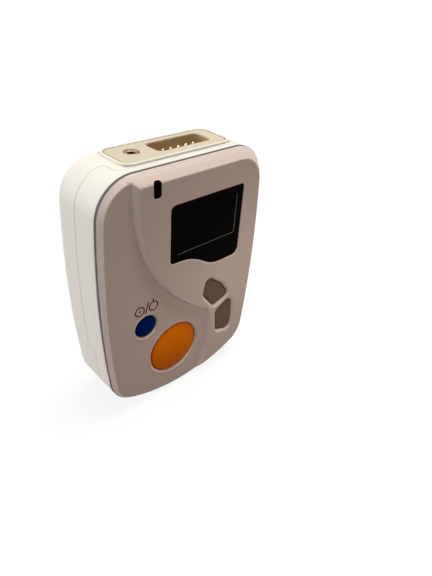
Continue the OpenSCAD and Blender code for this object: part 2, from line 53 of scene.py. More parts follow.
bl_info = {
    "name": "Pocket ECG recorder",
    "version": (1, 0, 0),
    "blender": (4, 5, 0),
    "location": "View3D > Sidebar > ECG recorder",
    "description": "Builds the mouldings, buttons, connector and finishes of an ECG recorder",
    "category": "Object",
}

MM = 0.001
X, Y, Z = range(3)
TINY = 1e-4


# -------------------------------------------------------------- sizes taken from the frame, in mm

def span(node, axis):
    """Lowest and highest place of a CAD node along one axis, in millimetres."""
    low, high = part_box(node)
    return low[axis] / MM, high[axis] / MM


def size_along(node, axis):
    """Size of a CAD node along one axis, in millimetres."""
    low, high = span(node, axis)
    return high - low


def middle(node, axis):
    """Middle of a CAD node along one axis, in millimetres."""
    low, high = span(node, axis)
    return (low + high) / 2


CASE_W = 2 * span("front_cover", X)[1]
CASE_H = span("front_cover", Z)[1]
FRONT_Y = span("front_cover", Y)[0]
SEAM_Y = span("seam_gasket", Y)[0]
FRAME_Y = span("middle_frame", Y)[0]
PARTING_Y = span("middle_frame", Y)[1]
DOOR_Y = span("battery_door", Y)[0]
DOOR_TOP = span("battery_door", Z)[1]
BACK_Y = span("rear_shell", Y)[1]
RIM_TOP = span("rear_shell", Z)[1]
TONGUE_Y = span("rear_shell", Y)[0]
RAISED_H = SEAM_Y - FRONT_Y


# ------------------------------------------------------------------- settings a user would change

def length(name, description, value):
    """Property for a size that is given here in millimetres."""
    return FloatProperty(name=name, description=description, default=value * MM, min=0.0,
                         unit="LENGTH", precision=5)


def colour(name, description, value):
    """Property for a linear colour."""
    return FloatVectorProperty(name=name, description=description, default=value, size=3,
                               min=0.0, max=1.0, subtype="COLOR")


class RecorderCase(bpy.types.PropertyGroup):
    """Sizes of the mouldings."""
    side_bow: length("Side bow", "How far each side bows out at mid height", 1.95)
    bottom_bow: length("Bottom bow", "How far the bottom bows down in the middle", 7.2)
    top_corner_r: length("Top corner radius", "Radius of the two top corners", 10.6)
    bottom_corner_r: length("Bottom corner radius", "Radius of the two bottom corners", 10.5)
    back_edge_r: length("Back edge radius", "Rounding round the back face", 2.9)
    wall: length("Wall", "Thickness of the moulded walls", 1.6)
    gap: length("Door gap", "Gap round the battery door", 0.15)
    seam_r: length("Seam rounding", "Rounding of the edge next to the dark seam", 0.35)
    edge_r: length("Edge rounding", "Small rounding on the edges at the parting lines", 0.22)


class RecorderFront(bpy.types.PropertyGroup):
    """Sizes on the front cover and its buttons."""
    low_h: length("Low level", "Height of the button side above the seam", 1.5)
    step_run: length("Slope width", "Width of the slope between the two levels", 1.3)
    crease: length("Crease", "Softness of the chamfer's upper edge", 0.2)
    lip: length("Lip", "Height of the raised lip round the two round buttons", 0.14)
    button_play: length("Button play", "Play round the buttons in their holes", 0.25)
    rim_drop: length("Round rim depth", "Depth of the sloped rims round the round buttons", 0.45)
    event_rim: length("Event rim width", "Width of the sloped rim round the event button", 0.7)
    power_rim: length("Power rim width", "Width of the sloped rim round the power button", 0.5)
    key_drop: length("Key rim depth", "Depth of the sloped rims round the two keys", 0.55)


class RecorderColours(bpy.types.PropertyGroup):
    """Colours of the finishes, linear."""
    # Cover colour: the case's white made darker and pinker, partly painted shade of the front face
    cover: colour("Cover", "Pearl plastic of the front cover", (0.655, 0.475, 0.385))
    case: colour("Case", "Warm white plastic of the sides and back", (0.655, 0.56, 0.465))
    plate: colour("Connector plate", "Beige plastic of the connector", (0.49, 0.365, 0.245))
    event: colour("Event button", "Orange of the event button", (0.88, 0.185, 0.003))
    power: colour("Power button", "Blue of the power button", (0.0007, 0.0135, 0.105))
    keys: colour("Keys", "Grey of the two shaped keys", (0.19, 0.12, 0.076))
    window: colour("Window", "Black of the display window", (0.003, 0.0022, 0.0017))
    symbol: colour("Symbol", "Ink of the power symbol", (0.012, 0.005, 0.004))


class RecorderStage(bpy.types.PropertyGroup):
    """Light round the object."""
    top_power: FloatProperty(name="Top lamp", description="Power of the lamp overhead",
                             default=9.2, min=0.0, unit="POWER")
    side_power: FloatProperty(name="Side lamp", description="Power of the lamp behind on the left",
                              default=4.0, min=0.0, unit="POWER")
    graze_power: FloatProperty(name="Left lamp",
                               description="Power of the lamp on the left, level with the front",
                               default=1.0, min=0.0, unit="POWER")
    fill_power: FloatProperty(name="Fill lamp",
                              description="Power of the small lamp in front on the right",
                              default=0.0046, min=0.0, unit="POWER", precision=4)
    ambient: FloatProperty(name="Ambient", description="Strength of the even light from all round",
                           default=0.155, min=0.0, max=1.0)
    top_tint: colour("Top lamp tint", "Tint of the lamp overhead", (0.82, 0.95, 1.0))
    side_tint: colour("Side lamp tint", "Tint of the lamp behind on the left", (0.86, 0.94, 1.0))
    ambient_tint: colour("Ambient tint", "Tint of the even light", (1.0, 0.82, 0.72))


def sizes(group):
    """A property group's lengths in millimetres, under the same names."""
    names = group.bl_rna.properties.keys()
    return SimpleNamespace(**{n: getattr(group, n) / MM for n in names
                              if n not in ("name", "rna_type")})


# ---------------------------------------------------------------------------- outline of the case

def meet(a, ra, b, rb):
    """Lower crossing of two circles given by centre and radius, the second one far to the left."""
    a, b = np.array(a), np.array(b)
    d = np.linalg.norm(b - a)
    u = (b - a) / d
    m = (ra * ra - rb * rb + d * d) / (2 * d)
    return a + u * m - math.sqrt(ra * ra - m * m) * np.array([u[1], -u[0]])


class Outline:
    """The case's outline in X and Z. A place u is a distance along it from the bottom middle."""

    def __init__(self, case):
        half_w = CASE_W / 2
        mid_z = (CASE_H + case.bottom_bow) / 2
        half_side = (CASE_H - case.bottom_bow) / 2
        side_r = (half_side ** 2 + case.side_bow ** 2) / (2 * case.side_bow)
        side = (half_w - side_r, mid_z)
        frame_x = half_w - case.side_bow
        bottom_r = (frame_x ** 2 + case.bottom_bow ** 2) / (2 * case.bottom_bow)
        top_z = CASE_H - case.top_corner_r
        top_x = side[0] + math.sqrt((side_r - case.top_corner_r) ** 2 - (top_z - mid_z) ** 2)
        low = meet((0, bottom_r), bottom_r - case.bottom_corner_r, side,
                   side_r - case.bottom_corner_r)
        a_bottom = math.atan2(low[1] - bottom_r, low[0])
        a_low = math.atan2(low[1] - side[1], low[0] - side[0])
        a_top = math.atan2(top_z - side[1], top_x - side[0])
        self.arcs = [((0, bottom_r), bottom_r, -math.pi / 2, a_bottom),
                     (low, case.bottom_corner_r, a_bottom, a_low),
                     (side, side_r, a_low, a_top),
                     ((top_x, top_z), case.top_corner_r, a_top, math.pi / 2)]
        self.top_x = top_x
        self.half = sum(r * (b - a) for _, r, a, b in self.arcs) + top_x
        self.total = 2 * self.half
        self.dense = np.array(self.loop(0.0, 0.4))

    def at(self, u, inset=0.0):
        """Point at u, moved inwards by inset."""
        u %= self.total
        mirror = 1
        if u > self.half:
            u, mirror = self.total - u, -1
        for centre, radius, start, end in self.arcs:
            arc = radius * (end - start)
            if u <= arc:
                angle = start + u / radius
                return (mirror * (centre[0] + (radius - inset) * math.cos(angle)),
                        centre[1] + (radius - inset) * math.sin(angle))
            u -= arc
        return mirror * (self.top_x - u), CASE_H - inset

    def loop(self, inset, step):
        """Points all round, moved inwards by inset, about a step apart."""
        count = int(round(self.total / step))
        return [self.at(self.total * i / count, inset) for i in range(count)]

    def find(self, value, axis):
        """u on the right half where X (on the top) or Z (on the side) has this value."""
        shares = (0.72, 1.0) if axis == X else (0.2, 0.75)
        low, high = (self.half * share for share in shares)
        for _ in range(50):
            mid = (low + high) / 2
            here = self.at(mid)
            past = here[0] < value if axis == X else here[1] > value
            low, high = (low, mid) if past else (mid, high)
        return (low + high) / 2

    def at_x(self, x):
        """u on the top where X has this value, on either half."""
        return self.find(x, X) if x >= 0 else self.total - self.find(-x, X)


# ----------------------------------------------------------------------------------- plane curves

def curve(p0, p1, p2, p3, n):
    """Points on a cubic curve."""
    p0, p1, p2, p3 = map(np.array, (p0, p1, p2, p3))
    points = []
    for t in (i / n for i in range(n + 1)):
        w = 1 - t
        points.append(tuple(w ** 3 * p0 + 3 * w ** 2 * t * p1 + 3 * w * t * t * p2 + t ** 3 * p3))
    return points


def resample(points, step, closed=True):
    """The same line with evenly spaced points."""
    p = np.array(points, float)
    if closed:
        p = np.vstack([p, p[:1]])
    along = np.concatenate([[0], np.cumsum(np.linalg.norm(np.diff(p, axis=0), axis=1))])
    count = max(3, int(round(along[-1] / step)))
    places = np.linspace(0, along[-1], count + 1)
    if closed:
        places = places[:-1]
    return np.column_stack([np.interp(places, along, p[:, i]) for i in (0, 1)])


def grown(loop, distance):
    """An anticlockwise loop moved outwards by a distance."""
    p = np.array(loop, float)
    along = np.roll(p, -1, 0) - np.roll(p, 1, 0)
    along /= np.linalg.norm(along, axis=1)[:, None]
    return p + distance * np.column_stack([along[:, 1], -along[:, 0]])


def circle(centre, radius, count=96):
    """Circle, anticlockwise."""
    angles = np.linspace(0, 2 * math.pi, count, endpoint=False)
    return np.column_stack([centre[0] + radius * np.cos(angles),
                            centre[1] + radius * np.sin(angles)])


def round_rect(centre, size, radius, step=0.6):
    """Rounded rectangle, anticlockwise."""
    half = (size[0] / 2 - radius, size[1] / 2 - radius)
    corners = [(centre[0] + sx * half[0], centre[1] + sy * half[1], radius)
               for sx, sy in ((1, 1), (-1, 1), (-1, -1), (1, -1))]
    return blob(corners, 0.0, step)


def blob(corners, grow=0.0, step=0.45):
    """Anticlockwise outline round corner circles, each (x, z, radius), grown by a distance."""
    points = []
    for angle in np.linspace(0, 2 * math.pi, 360, endpoint=False):
        normal = (math.cos(angle), math.sin(angle))
        x, z, r = max(corners, key=lambda c: c[0] * normal[0] + c[1] * normal[1] + c[2])
        points.append((x + (r + grow) * normal[0], z + (r + grow) * normal[1]))
    return resample(points, step)


CHUNK = 1500


def line_distance(points, line, closed):
    """Distance of each point from a line, and its side of it (+1 right of the line's run)."""
    points = np.asarray(points, float)
    a = np.asarray(line, float)
    b = np.roll(a, -1, 0) if closed else a[1:]
    a = a if closed else a[:-1]
    run = b - a
    square = (run ** 2).sum(1)
    distance, side = np.empty(len(points)), np.empty(len(points))
    for start in range(0, len(points), CHUNK):
        p = points[start:start + CHUNK]
        rel = p[:, None, :] - a[None]
        t = np.clip((rel * run).sum(2) / square, 0, 1)
        off = rel - t[..., None] * run
        d2 = (off ** 2).sum(2)
        near = d2.argmin(1)
        rows = np.arange(len(p))
        distance[start:start + CHUNK] = np.sqrt(d2[rows, near])
        cross = run[near, 0] * off[rows, near, 1] - run[near, 1] * off[rows, near, 0]
        side[start:start + CHUNK] = np.where(cross > 0, -1, 1)
    return distance, side


def inside(points, loop):
    """Which points lie inside a loop."""
    points = np.asarray(points, float)
    a = np.asarray(loop, float)
    b = np.roll(a, -1, 0)
    result = np.zeros(len(points), bool)
    for (ax, ay), (bx, by) in zip(a, b):
        if ay == by:
            continue
        crosses = (ay > points[:, 1]) != (by > points[:, 1])
        result ^= crosses & (points[:, 0] < (bx - ax) * (points[:, 1] - ay) / (by - ay) + ax)
    return result


def soft_min(a, b, softness):
    """The smaller of two heights, with their crossing rounded."""
    h = np.maximum(softness - np.abs(a - b), 0) / softness
    return np.minimum(a, b) - h * h * softness / 4


def soft_max(a, b, softness):
    """The larger of two heights, with their crossing rounded."""
    return -soft_min(-a, -b, softness)


def round_over(distance, radius):
    """How far a rounded edge drops at each distance from it."""
    d = np.clip(radius - distance, 0, radius)
    return radius - np.sqrt(np.maximum(radius * radius - d * d, 0))


# ----------------------------------------------------------------------------------------- meshes

class Shape:
    """Collects vertices in millimetres and faces, and turns them into a mesh object."""

    def __init__(self):
        self.verts, self.faces = [], []

    def add(self, verts, faces):
        start = len(self.verts)
        self.verts += [tuple(v) for v in verts]
        self.faces += [[start + i for i in f] for f in faces]

    def lathe(self, profile, place, count=64):
        """Turns (radius, height) points round an axis. place(a, b, height) puts them in space."""
        rings, verts = [], []
        for r, h in profile:
            if r == 0:
                rings.append([len(verts)] * count)
                verts.append(place(0.0, 0.0, h))
            else:
                rings.append([len(verts) + i for i in range(count)])
                turns = [2 * math.pi * i / count for i in range(count)]
                verts += [place(r * math.cos(a), r * math.sin(a), h) for a in turns]
        faces = []
        for low, high in zip(rings, rings[1:]):
            for i in range(count):
                j = (i + 1) % count
                corners = list(dict.fromkeys([low[i], low[j], high[j], high[i]]))
                if len(corners) > 2:
                    faces.append(corners)
        self.add(verts, faces)

    def tube(self, path, radius, count=10):
        """Round wire along a path, with flat ends."""
        path = [Vector(p) for p in path]
        side = None
        verts, faces = [], []
        for k, p in enumerate(path):
            along = (path[min(k + 1, len(path) - 1)] - path[max(k - 1, 0)]).normalized()
            if side is None:
                side = along.orthogonal().normalized()
            side = (side - along * side.dot(along)).normalized()
            up = along.cross(side)
            verts += [p + radius * (math.cos(a) * side + math.sin(a) * up)
                      for a in (2 * math.pi * i / count for i in range(count))]
        for k in range(len(path) - 1):
            faces += [[k * count + i, k * count + (i + 1) % count,
                       (k + 1) * count + (i + 1) % count, (k + 1) * count + i]
                      for i in range(count)]
        faces += [list(range(count))[::-1], [len(verts) - count + i for i in range(count)]]
        self.add(verts, faces)

    def slab(self, flat, front, back, place, open_at=None):
        """Closed solid over a flat region between two heights, each plain or one per point."""
        points, triangles, loops = flat
        n = len(points)
        walls = [[a, b, b + n, a + n] for loop in loops for a, b in zip(loop, loop[1:] + loop[:1])
                 if open_at is None or not open_at(points[a], points[b])]
        heights = (np.broadcast_to(front, n), np.broadcast_to(back, n))
        self.add([place(p, h) for level in heights for p, h in zip(points, level)],
                 list(triangles) + [[i + n for i in t[::-1]] for t in triangles] + walls)

    def build(self, name, body="root", material=None, replaces=(), sharp=38):
        """Makes the mesh object, smooth apart from its sharp edges, and puts it on its body."""
        mesh = bpy.data.meshes.new(name)
        bm = bmesh.new()
        verts = [bm.verts.new(Vector(v) * MM) for v in self.verts]
        for face in self.faces:
            try:
                bm.faces.new([verts[i] for i in face])
            except ValueError:
                continue
        bmesh.ops.remove_doubles(bm, verts=bm.verts, dist=0.002 * MM)
        loose = [v for v in bm.verts if not v.link_faces]
        bmesh.ops.delete(bm, geom=loose, context="VERTS")
        bmesh.ops.recalc_face_normals(bm, faces=bm.faces)
        bm.to_mesh(mesh)
        bm.free()
        mesh.shade_smooth()
        mesh.set_sharp_from_angle(angle=math.radians(sharp))
        piece = bpy.data.objects.new(name, mesh)
        bpy.context.scene.collection.objects.link(piece)
        if material:
            mesh.materials.append(material)
        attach(piece, body)
        if replaces:
            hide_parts(*replaces)
        return piece


def region(outer, holes, rows):
    """Triangles over a flat region with holes. rows are (points, spacing) sets inside it."""
    kept, cells = [], {}
    size = 0.5

    def near(p, spacing):
        reach = int(spacing / size) + 1
        cx, cy = int(p[0] // size), int(p[1] // size)
        return any((q[0] - p[0]) ** 2 + (q[1] - p[1]) ** 2 < spacing * spacing
                   for i in range(cx - reach, cx + reach + 1)
                   for j in range(cy - reach, cy + reach + 1)
                   for q in cells.get((i, j), ()))

    def keep(p):
        kept.append((float(p[0]), float(p[1])))
        cells.setdefault((int(p[0] // size), int(p[1] // size)), []).append(p)

    edges, loops = [], []
    for loop in [outer] + list(holes):
        start = len(kept)
        for p in loop:
            keep(p)
        loops.append(list(range(start, len(kept))))
        edges += [(start + i, start + (i + 1) % len(loop)) for i in range(len(loop))]
    for points, spacing in rows:
        points = np.asarray(points, float)
        good = inside(points, outer)
        for hole in holes:
            good &= ~inside(points, hole)
        for p in points[good]:
            if not near(p, spacing):
                keep(p)
    out, _, faces, origin, _, _ = delaunay_2d_cdt([Vector(p) for p in kept], edges, [], 0, 1e-6)
    points = np.array([(p.x, p.y) for p in out])
    renamed = {old: new for new, olds in enumerate(origin) for old in olds}
    loops = [[renamed[i] for i in loop] for loop in loops]
    centres = np.array([points[list(f)].mean(0) for f in faces])
    good = inside(centres, outer)
    for hole in holes:
        good &= ~inside(centres, hole)
    return points, [list(f) for f, g in zip(faces, good) if g], loops


def lattice(low, high, step):
    """Points in staggered rows over a box."""
    rows = []
    for j, b in enumerate(np.arange(low[1], high[1], step * 0.87)):
        start = low[0] + (step / 2 if j % 2 else 0)
        rows += [(a, b) for a in np.arange(start, high[0], step)]
    return np.array(rows)


def rings(loop, offsets):
    """Copies of a loop, each moved outwards by one of the offsets."""
    return np.vstack([grown(loop, d) for d in offsets])


def along_y(p, y):
    """Places a point of the X-Z plane at a depth."""
    return p[0], y, p[1]


def along_z(p, z):
    """Places a point of the X-Y plane at a height."""
    return p[0], p[1], z


# -------------------------------------------------------------------------- shared shader effects

def node_group(name, inputs, outputs):
    """Empty shader group with its sockets. inputs and outputs are (name, kind, default) rows."""
    group = bpy.data.node_groups.new(name, "ShaderNodeTree")
    for label, kind, default in inputs:
        socket = group.interface.new_socket(name=label, in_out="INPUT",
                                            socket_type="NodeSocket" + kind)
        if default is not None:
            socket.default_value = default
    for label, kind, _ in outputs:
        group.interface.new_socket(name=label, in_out="OUTPUT", socket_type="NodeSocket" + kind)
    return group, group.nodes.new("NodeGroupInput"), group.nodes.new("NodeGroupOutput")


def add_node(tree, kind, links=None, **values):
    """New node. values set its fields or inputs by name; links are (input, source) pairs."""
    node = tree.nodes.new("ShaderNode" + kind)
    for key, value in values.items():
        if hasattr(node, key):
            setattr(node, key, value)
        else:
            node.inputs[key.replace("_", " ")].default_value = value
    for target, source in (links or {}).items():
        tree.links.new(source, node.inputs[target])
    return node


def math_node(tree, operation, *values, clamp=False):
    """Math node on numbers or sockets."""
    node = tree.nodes.new("ShaderNodeMath")
    node.operation = operation
    node.use_clamp = clamp
    for i, value in enumerate(values):
        if isinstance(value, (int, float)):
            node.inputs[i].default_value = value
        else:
            tree.links.new(value, node.inputs[i])
    return node.outputs[0]


def mix_colour(tree, factor, a, b, blend="MIX"):
    """Mix of two colours or sockets."""
    node = tree.nodes.new("ShaderNodeMix")
    node.data_type = "RGBA"
    node.blend_type = blend
    for socket, value in ((node.inputs[0], factor), (node.inputs[6], a), (node.inputs[7], b)):
        if isinstance(value, (int, float)):
            socket.default_value = value
        elif isinstance(value, tuple):
            socket.default_value = (*value[:3], 1.0)
        else:
            tree.links.new(value, socket)
    return node.outputs[2]


SURFACE_OUTPUTS = [("Color", "Color", None), ("Roughness", "Float", None),
                   ("Normal", "Vector", None)]


def moulded_group():
    """Moulded plastic: faint flow mottling, a spark-eroded grain and a few handling marks."""
    name = "Moulded plastic"
    if name in bpy.data.node_groups:
        return bpy.data.node_groups[name]
    group, inputs, outputs = node_group(
        name,
        [("Color", "Color", (0.8, 0.8, 0.8, 1)), ("Mottle", "Float", 0.04),
         ("Grain Size", "Float", 3200.0), ("Grain Depth", "Float", 0.15),
         ("Roughness", "Float", 0.4), ("Marks", "Float", 0.1)], SURFACE_OUTPUTS)
    place = add_node(group, "TexCoord").outputs["Object"]
    flow = add_node(group, "TexNoise", {"Vector": place}, Scale=70.0, Detail=3.0, Roughness=0.55)
    darkest = math_node(group, "MULTIPLY_ADD", inputs.outputs["Mottle"], -0.5, 1.0)
    shade = math_node(group, "MULTIPLY_ADD", flow.outputs[0], inputs.outputs["Mottle"], darkest)
    tinted = mix_colour(group, 1.0, inputs.outputs["Color"], shade, "MULTIPLY")
    stretched = add_node(group, "Mapping", {"Vector": place})
    stretched.inputs["Rotation"].default_value = (0.3, 0.5, 0.7)
    stretched.inputs["Scale"].default_value = (1.0, 14.0, 5.0)
    hairs = add_node(group, "TexNoise", {"Vector": stretched.outputs[0]}, Scale=160.0, Detail=2.0)
    scratches = math_node(group, "MULTIPLY_ADD", hairs.outputs[0], 9.0, -5.9, clamp=True)
    marks = math_node(group, "MULTIPLY", scratches, inputs.outputs["Marks"])
    smear = add_node(group, "TexNoise", {"Vector": place}, Scale=220.0, Detail=4.0, Roughness=0.6)
    uneven = math_node(group, "MULTIPLY_ADD", smear.outputs[0], 0.12, -0.06)
    rough = math_node(group, "ADD", math_node(group, "ADD", inputs.outputs["Roughness"], uneven),
                      math_node(group, "MULTIPLY", marks, 0.5), clamp=True)
    grain = add_node(group, "TexNoise", {"Vector": place, "Scale": inputs.outputs["Grain Size"]},
                     Detail=2.0, Roughness=0.6)
    height = math_node(group, "SUBTRACT", grain.outputs[0],
                       math_node(group, "MULTIPLY", marks, 0.4))
    bump = add_node(group, "Bump", {"Height": height, "Strength": inputs.outputs["Grain Depth"]},
                    Distance=0.00004)
    worn = mix_colour(group, math_node(group, "MULTIPLY", marks, 0.15), tinted, (0.9, 0.88, 0.85))
    group.links.new(worn, outputs.inputs["Color"])
    group.links.new(rough, outputs.inputs["Roughness"])
    group.links.new(bump.outputs[0], outputs.inputs["Normal"])
    return group


def metal_group():
    """Worked metal: fine lines along one direction, stains and an uneven polish."""
    name = "Worked metal"
    if name in bpy.data.node_groups:
        return bpy.data.node_groups[name]
    group, inputs, outputs = node_group(
        name,
        [("Color", "Color", (0.6, 0.6, 0.6, 1)), ("Stain", "Color", (0.3, 0.25, 0.2, 1)),
         ("Stain Amount", "Float", 0.3), ("Roughness", "Float", 0.3),
         ("Line Depth", "Float", 0.3)], SURFACE_OUTPUTS)
    place = add_node(group, "TexCoord").outputs["Object"]
    stretched = add_node(group, "Mapping", {"Vector": place})
    stretched.inputs["Scale"].default_value = (1.0, 1.0, 30.0)
    lines = add_node(group, "TexNoise", {"Vector": stretched.outputs[0]}, Scale=900.0, Detail=3.0)
    spots = add_node(group, "TexNoise", {"Vector": place}, Scale=700.0, Detail=5.0, Roughness=0.65)
    blotches = math_node(group, "MULTIPLY_ADD", spots.outputs[0], 4.0, -1.8, clamp=True)
    stain = math_node(group, "MULTIPLY", blotches, inputs.outputs["Stain Amount"])
    rough = math_node(group, "ADD", inputs.outputs["Roughness"],
                      math_node(group, "MULTIPLY",
                                math_node(group, "ADD", stain, lines.outputs[0]), 0.15),
                      clamp=True)
    bump = add_node(group, "Bump",
                    {"Height": lines.outputs[0], "Strength": inputs.outputs["Line Depth"]},
                    Distance=0.00002)
    group.links.new(mix_colour(group, stain, inputs.outputs["Color"], inputs.outputs["Stain"]),
                    outputs.inputs["Color"])
    group.links.new(rough, outputs.inputs["Roughness"])
    group.links.new(bump.outputs[0], outputs.inputs["Normal"])
    return group


def new_material(name):
    """Material with a Principled shader, and that shader, or None where the material was there."""
    if name in bpy.data.materials:
        return bpy.data.materials[name], None
    material = bpy.data.materials.new(name)
    material.use_nodes = True
    return material, material.node_tree.nodes["Principled BSDF"]


def effect_material(name, group, values, **shader_values):
    """Material whose colour, roughness and normal come from a shared effect."""
    material, shader = new_material(name)
    if shader is None:
        return material
    links = material.node_tree.links
    effect = material.node_tree.nodes.new("ShaderNodeGroup")
    effect.node_tree = group
    for key, value in values.items():
        effect.inputs[key].default_value = (*value, 1.0) if isinstance(value, tuple) else value
    links.new(effect.outputs["Color"], shader.inputs["Base Color"])
    for key in ("Roughness", "Normal"):
        links.new(effect.outputs[key], shader.inputs[key])
    for key, value in shader_values.items():
        shader.inputs[key.replace("_", " ")].default_value = value
    return material


def plastic(name, base, roughness=0.4, mottle=0.05, grain=3200.0, depth=0.15, marks=0.08,
            specular=0.5, coat=0.0, coat_rough=0.1):
    """Moulded plastic finish."""
    return effect_material(
        name, moulded_group(),
        {"Color": base, "Mottle": mottle, "Grain Size": grain, "Grain Depth": depth,
         "Roughness": roughness, "Marks": marks},
        Specular_IOR_Level=specular, Coat_Weight=coat, Coat_Roughness=coat_rough)


def metal(name, base, stain, roughness=0.3, amount=0.3, depth=0.3):
    """Worked metal finish."""
    return effect_material(
        name, metal_group(),
        {"Color": base, "Stain": stain, "Stain Amount": amount, "Roughness": roughness,
         "Line Depth": depth},
        Metallic=1.0)


# --------------------------------------------------------------------------------------- finishes

def cover_finish(colours):
    """Plastic of the front cover, darker and pinker than the case's white: partly painted shade of
    the front face.
    """
    return plastic("cover_plastic_and_painted_shade", tuple(colours.cover), roughness=0.42, mottle=0.05, depth=0.22,
                   marks=0.04, specular=0.15)


def case_finish(colours):
    """Warm white plastic of the sides and back."""
    return plastic("warm_white_case", tuple(colours.case), roughness=0.45, mottle=0.035,
                   depth=0.12, marks=0.06, specular=0.25)


def plate_finish(colours):
    """Beige plastic of the connector plate."""
    return plastic("beige_plate", tuple(colours.plate), roughness=0.5, mottle=0.06, depth=0.25,
                   marks=0.04)


def seal_finish():
    """Dark rubber in the seam; on the bead it also paints the seam groove's shade."""
    return plastic("seam_rubber_and_shade", (0.1, 0.08, 0.068), roughness=0.7, depth=0.3, marks=0.0,
                   specular=0.1)


def black_finish():
    """Matt black plastic of inner parts."""
    return plastic("matt_black", (0.012, 0.012, 0.013), roughness=0.5, depth=0.3)


def cad_material(node, material):
    """Gives a CAD node a finish, in place of its plain one."""
    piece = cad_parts[node]
    if piece.material_slots:
        for slot in piece.material_slots:
            slot.material = material
    else:
        piece.data.materials.append(material)


# ------------------------------------------------------------------------------------ front cover

# Height of the front cover's edge at the seam, and where the chamfer steepens above it.
LAND = 0.1
RAMP_START, RAMP_RUN = 0.2, 1.1
# Width of the dark rubber bead in the seam. It takes the place of the cover's edge, so it also
# paints the seam groove's shade.
BEAD = 0.15
# The slope's width, as a share of the setting, at places up the case.
SLOPE_PLACES = [18, 26, 31, 40, 50, 60, 70]
SLOPE_SHARES = [0.7, 0.4, 0.25, 0.35, 0.55, 0.8, 1.0]
SLOPE_SOFTNESS, RIM_SOFTNESS = 0.16, 0.12
LIP_PLACE, LIP_SPREAD = 0.25, 0.33
WINDOW_PLAY, WINDOW_DEPTH = 0.08, 0.14
PILL_PLAY, PILL_DEPTH = 0.05, 0.07
STEP = ([(-17.35, CASE_H + 3)] + curve((-17.35, 71), (-17.8, 48.9), (-7.5, 36.6), (7, 26.7), 30)
        + curve((7.8, 25.2), (8.9, 19), (8.8, 9), (5, 0), 20) + [(4.2, -2)])
# Corner circles of the two keys, each (x, z, radius).
UP_CORNERS = [(7.6, 35.9, 1.5), (14, 29.3, 1.4), (10.7, 28.1, 1.5), (7.1, 32.8, 1.5),
              (10.9, 31.6, 2.8)]
DOWN_CORNERS = [(13.2, 22.6, 1.8), (16.1, 23.9, 1.9), (16.6, 15.4, 1.7), (13.8, 16.5, 1.8),
                (15.2, 19, 3.2)]
KEY_SLOPE = 0.8
FLANGE, KEY_FLANGE, FLANGE_T = 1.0, 0.9, 0.5
FLANGE_Y = SEAM_Y + 0.03
STEM_R = 0.9
EVENT = (middle("event_button", X), middle("event_button", Z))
EVENT_R = (span("event_button", X)[1] - EVENT[0]) - FLANGE
POWER = (middle("power_button", X), middle("power_button", Z))
POWER_R = (span("power_button", X)[1] - POWER[0]) - FLANGE
PILL_SIZE, PILL_CORNER = (2.2, 4.2), 0.7
PILL = (middle("indicator_window", X), middle("indicator_window", Z) + 0.2)


def window_loop():
    """Outline of the display window, with its curved lower edge."""
    left, right = span("display_window", X)
    low, top = span("display_window", Z)
    points = (curve((left, top - 1.6), (left, top - 0.5), (left + 0.5, top), (left + 1.7, top), 8)
              + curve((right - 0.9, top), (right - 0.3, top), (right, top - 0.3),
                      (right, top - 0.9), 8)
              + curve((right, low + 2.2), (right, low + 0.8), (right - 0.9, low),
                      (right - 2.3, low), 10)
              + curve((10.6, low), (4.6, low), (3.2, 48.4), (-4.9, 48.5), 24)
              + curve((left + 1, 48.6), (left + 0.3, 48.7), (left, 49), (left, 49.8), 6))
    return resample(points[::-1], 0.45)


def pill_loop(grow=0.0):
    """Outline of the lamp window, grown by a distance."""
    return grown(round_rect(PILL, PILL_SIZE, PILL_CORNER, 0.25), grow)


def cover_wells(front):
    """Holes in the cover, each (loop, floor height of its sloped rim, slope)."""
    low, high = front.low_h, RAISED_H
    play = front.button_play
    return [(circle(EVENT, EVENT_R + play, 128), low - front.rim_drop,
             front.rim_drop / front.event_rim),
            (circle(POWER, POWER_R + play, 72), low - front.rim_drop,
             front.rim_drop / front.power_rim),
            (blob(UP_CORNERS, play), high - front.key_drop, KEY_SLOPE),
            (blob(DOWN_CORNERS, play), high - front.key_drop, KEY_SLOPE),
            (grown(window_loop(), WINDOW_PLAY), high - WINDOW_DEPTH, 1.0),
            (pill_loop(PILL_PLAY), high - PILL_DEPTH, 1.0)]


def level_height(points, front):
    """Height of the two levels and the slope between them above the seam."""
    distance, side = line_distance(points, STEP, False)
    run = front.step_run * np.interp(points[:, 1], SLOPE_PLACES, SLOPE_SHARES)
    share = -side * distance / run + 0.5
    share = soft_max(share, np.zeros(len(share)), SLOPE_SOFTNESS)
    share = soft_min(share, np.ones(len(share)), SLOPE_SOFTNESS)
    return front.low_h + (RAISED_H - front.low_h) * share


def cover_height(points, outline, front):
    """Height of the front cover's outer surface above the seam."""
    inset, _ = line_distance(points, outline.dense, True)
    ramp = inset + 2 * LAND * np.clip((inset - RAMP_START) / RAMP_RUN, 0, 1)
    height = soft_min(ramp, level_height(points, front), front.crease)
    for loop, floor, slope in cover_wells(front):
        away, _ = line_distance(points, loop, True)
        height = soft_min(height, floor + slope * away, RIM_SOFTNESS)
    for centre, radius in ((EVENT, EVENT_R + front.event_rim), (POWER, POWER_R + front.power_rim)):
        away = np.hypot(points[:, 0] - centre[0], points[:, 1] - centre[1]) - radius - LIP_PLACE
        height += front.lip * np.exp(-(away / LIP_SPREAD) ** 2)
    return height


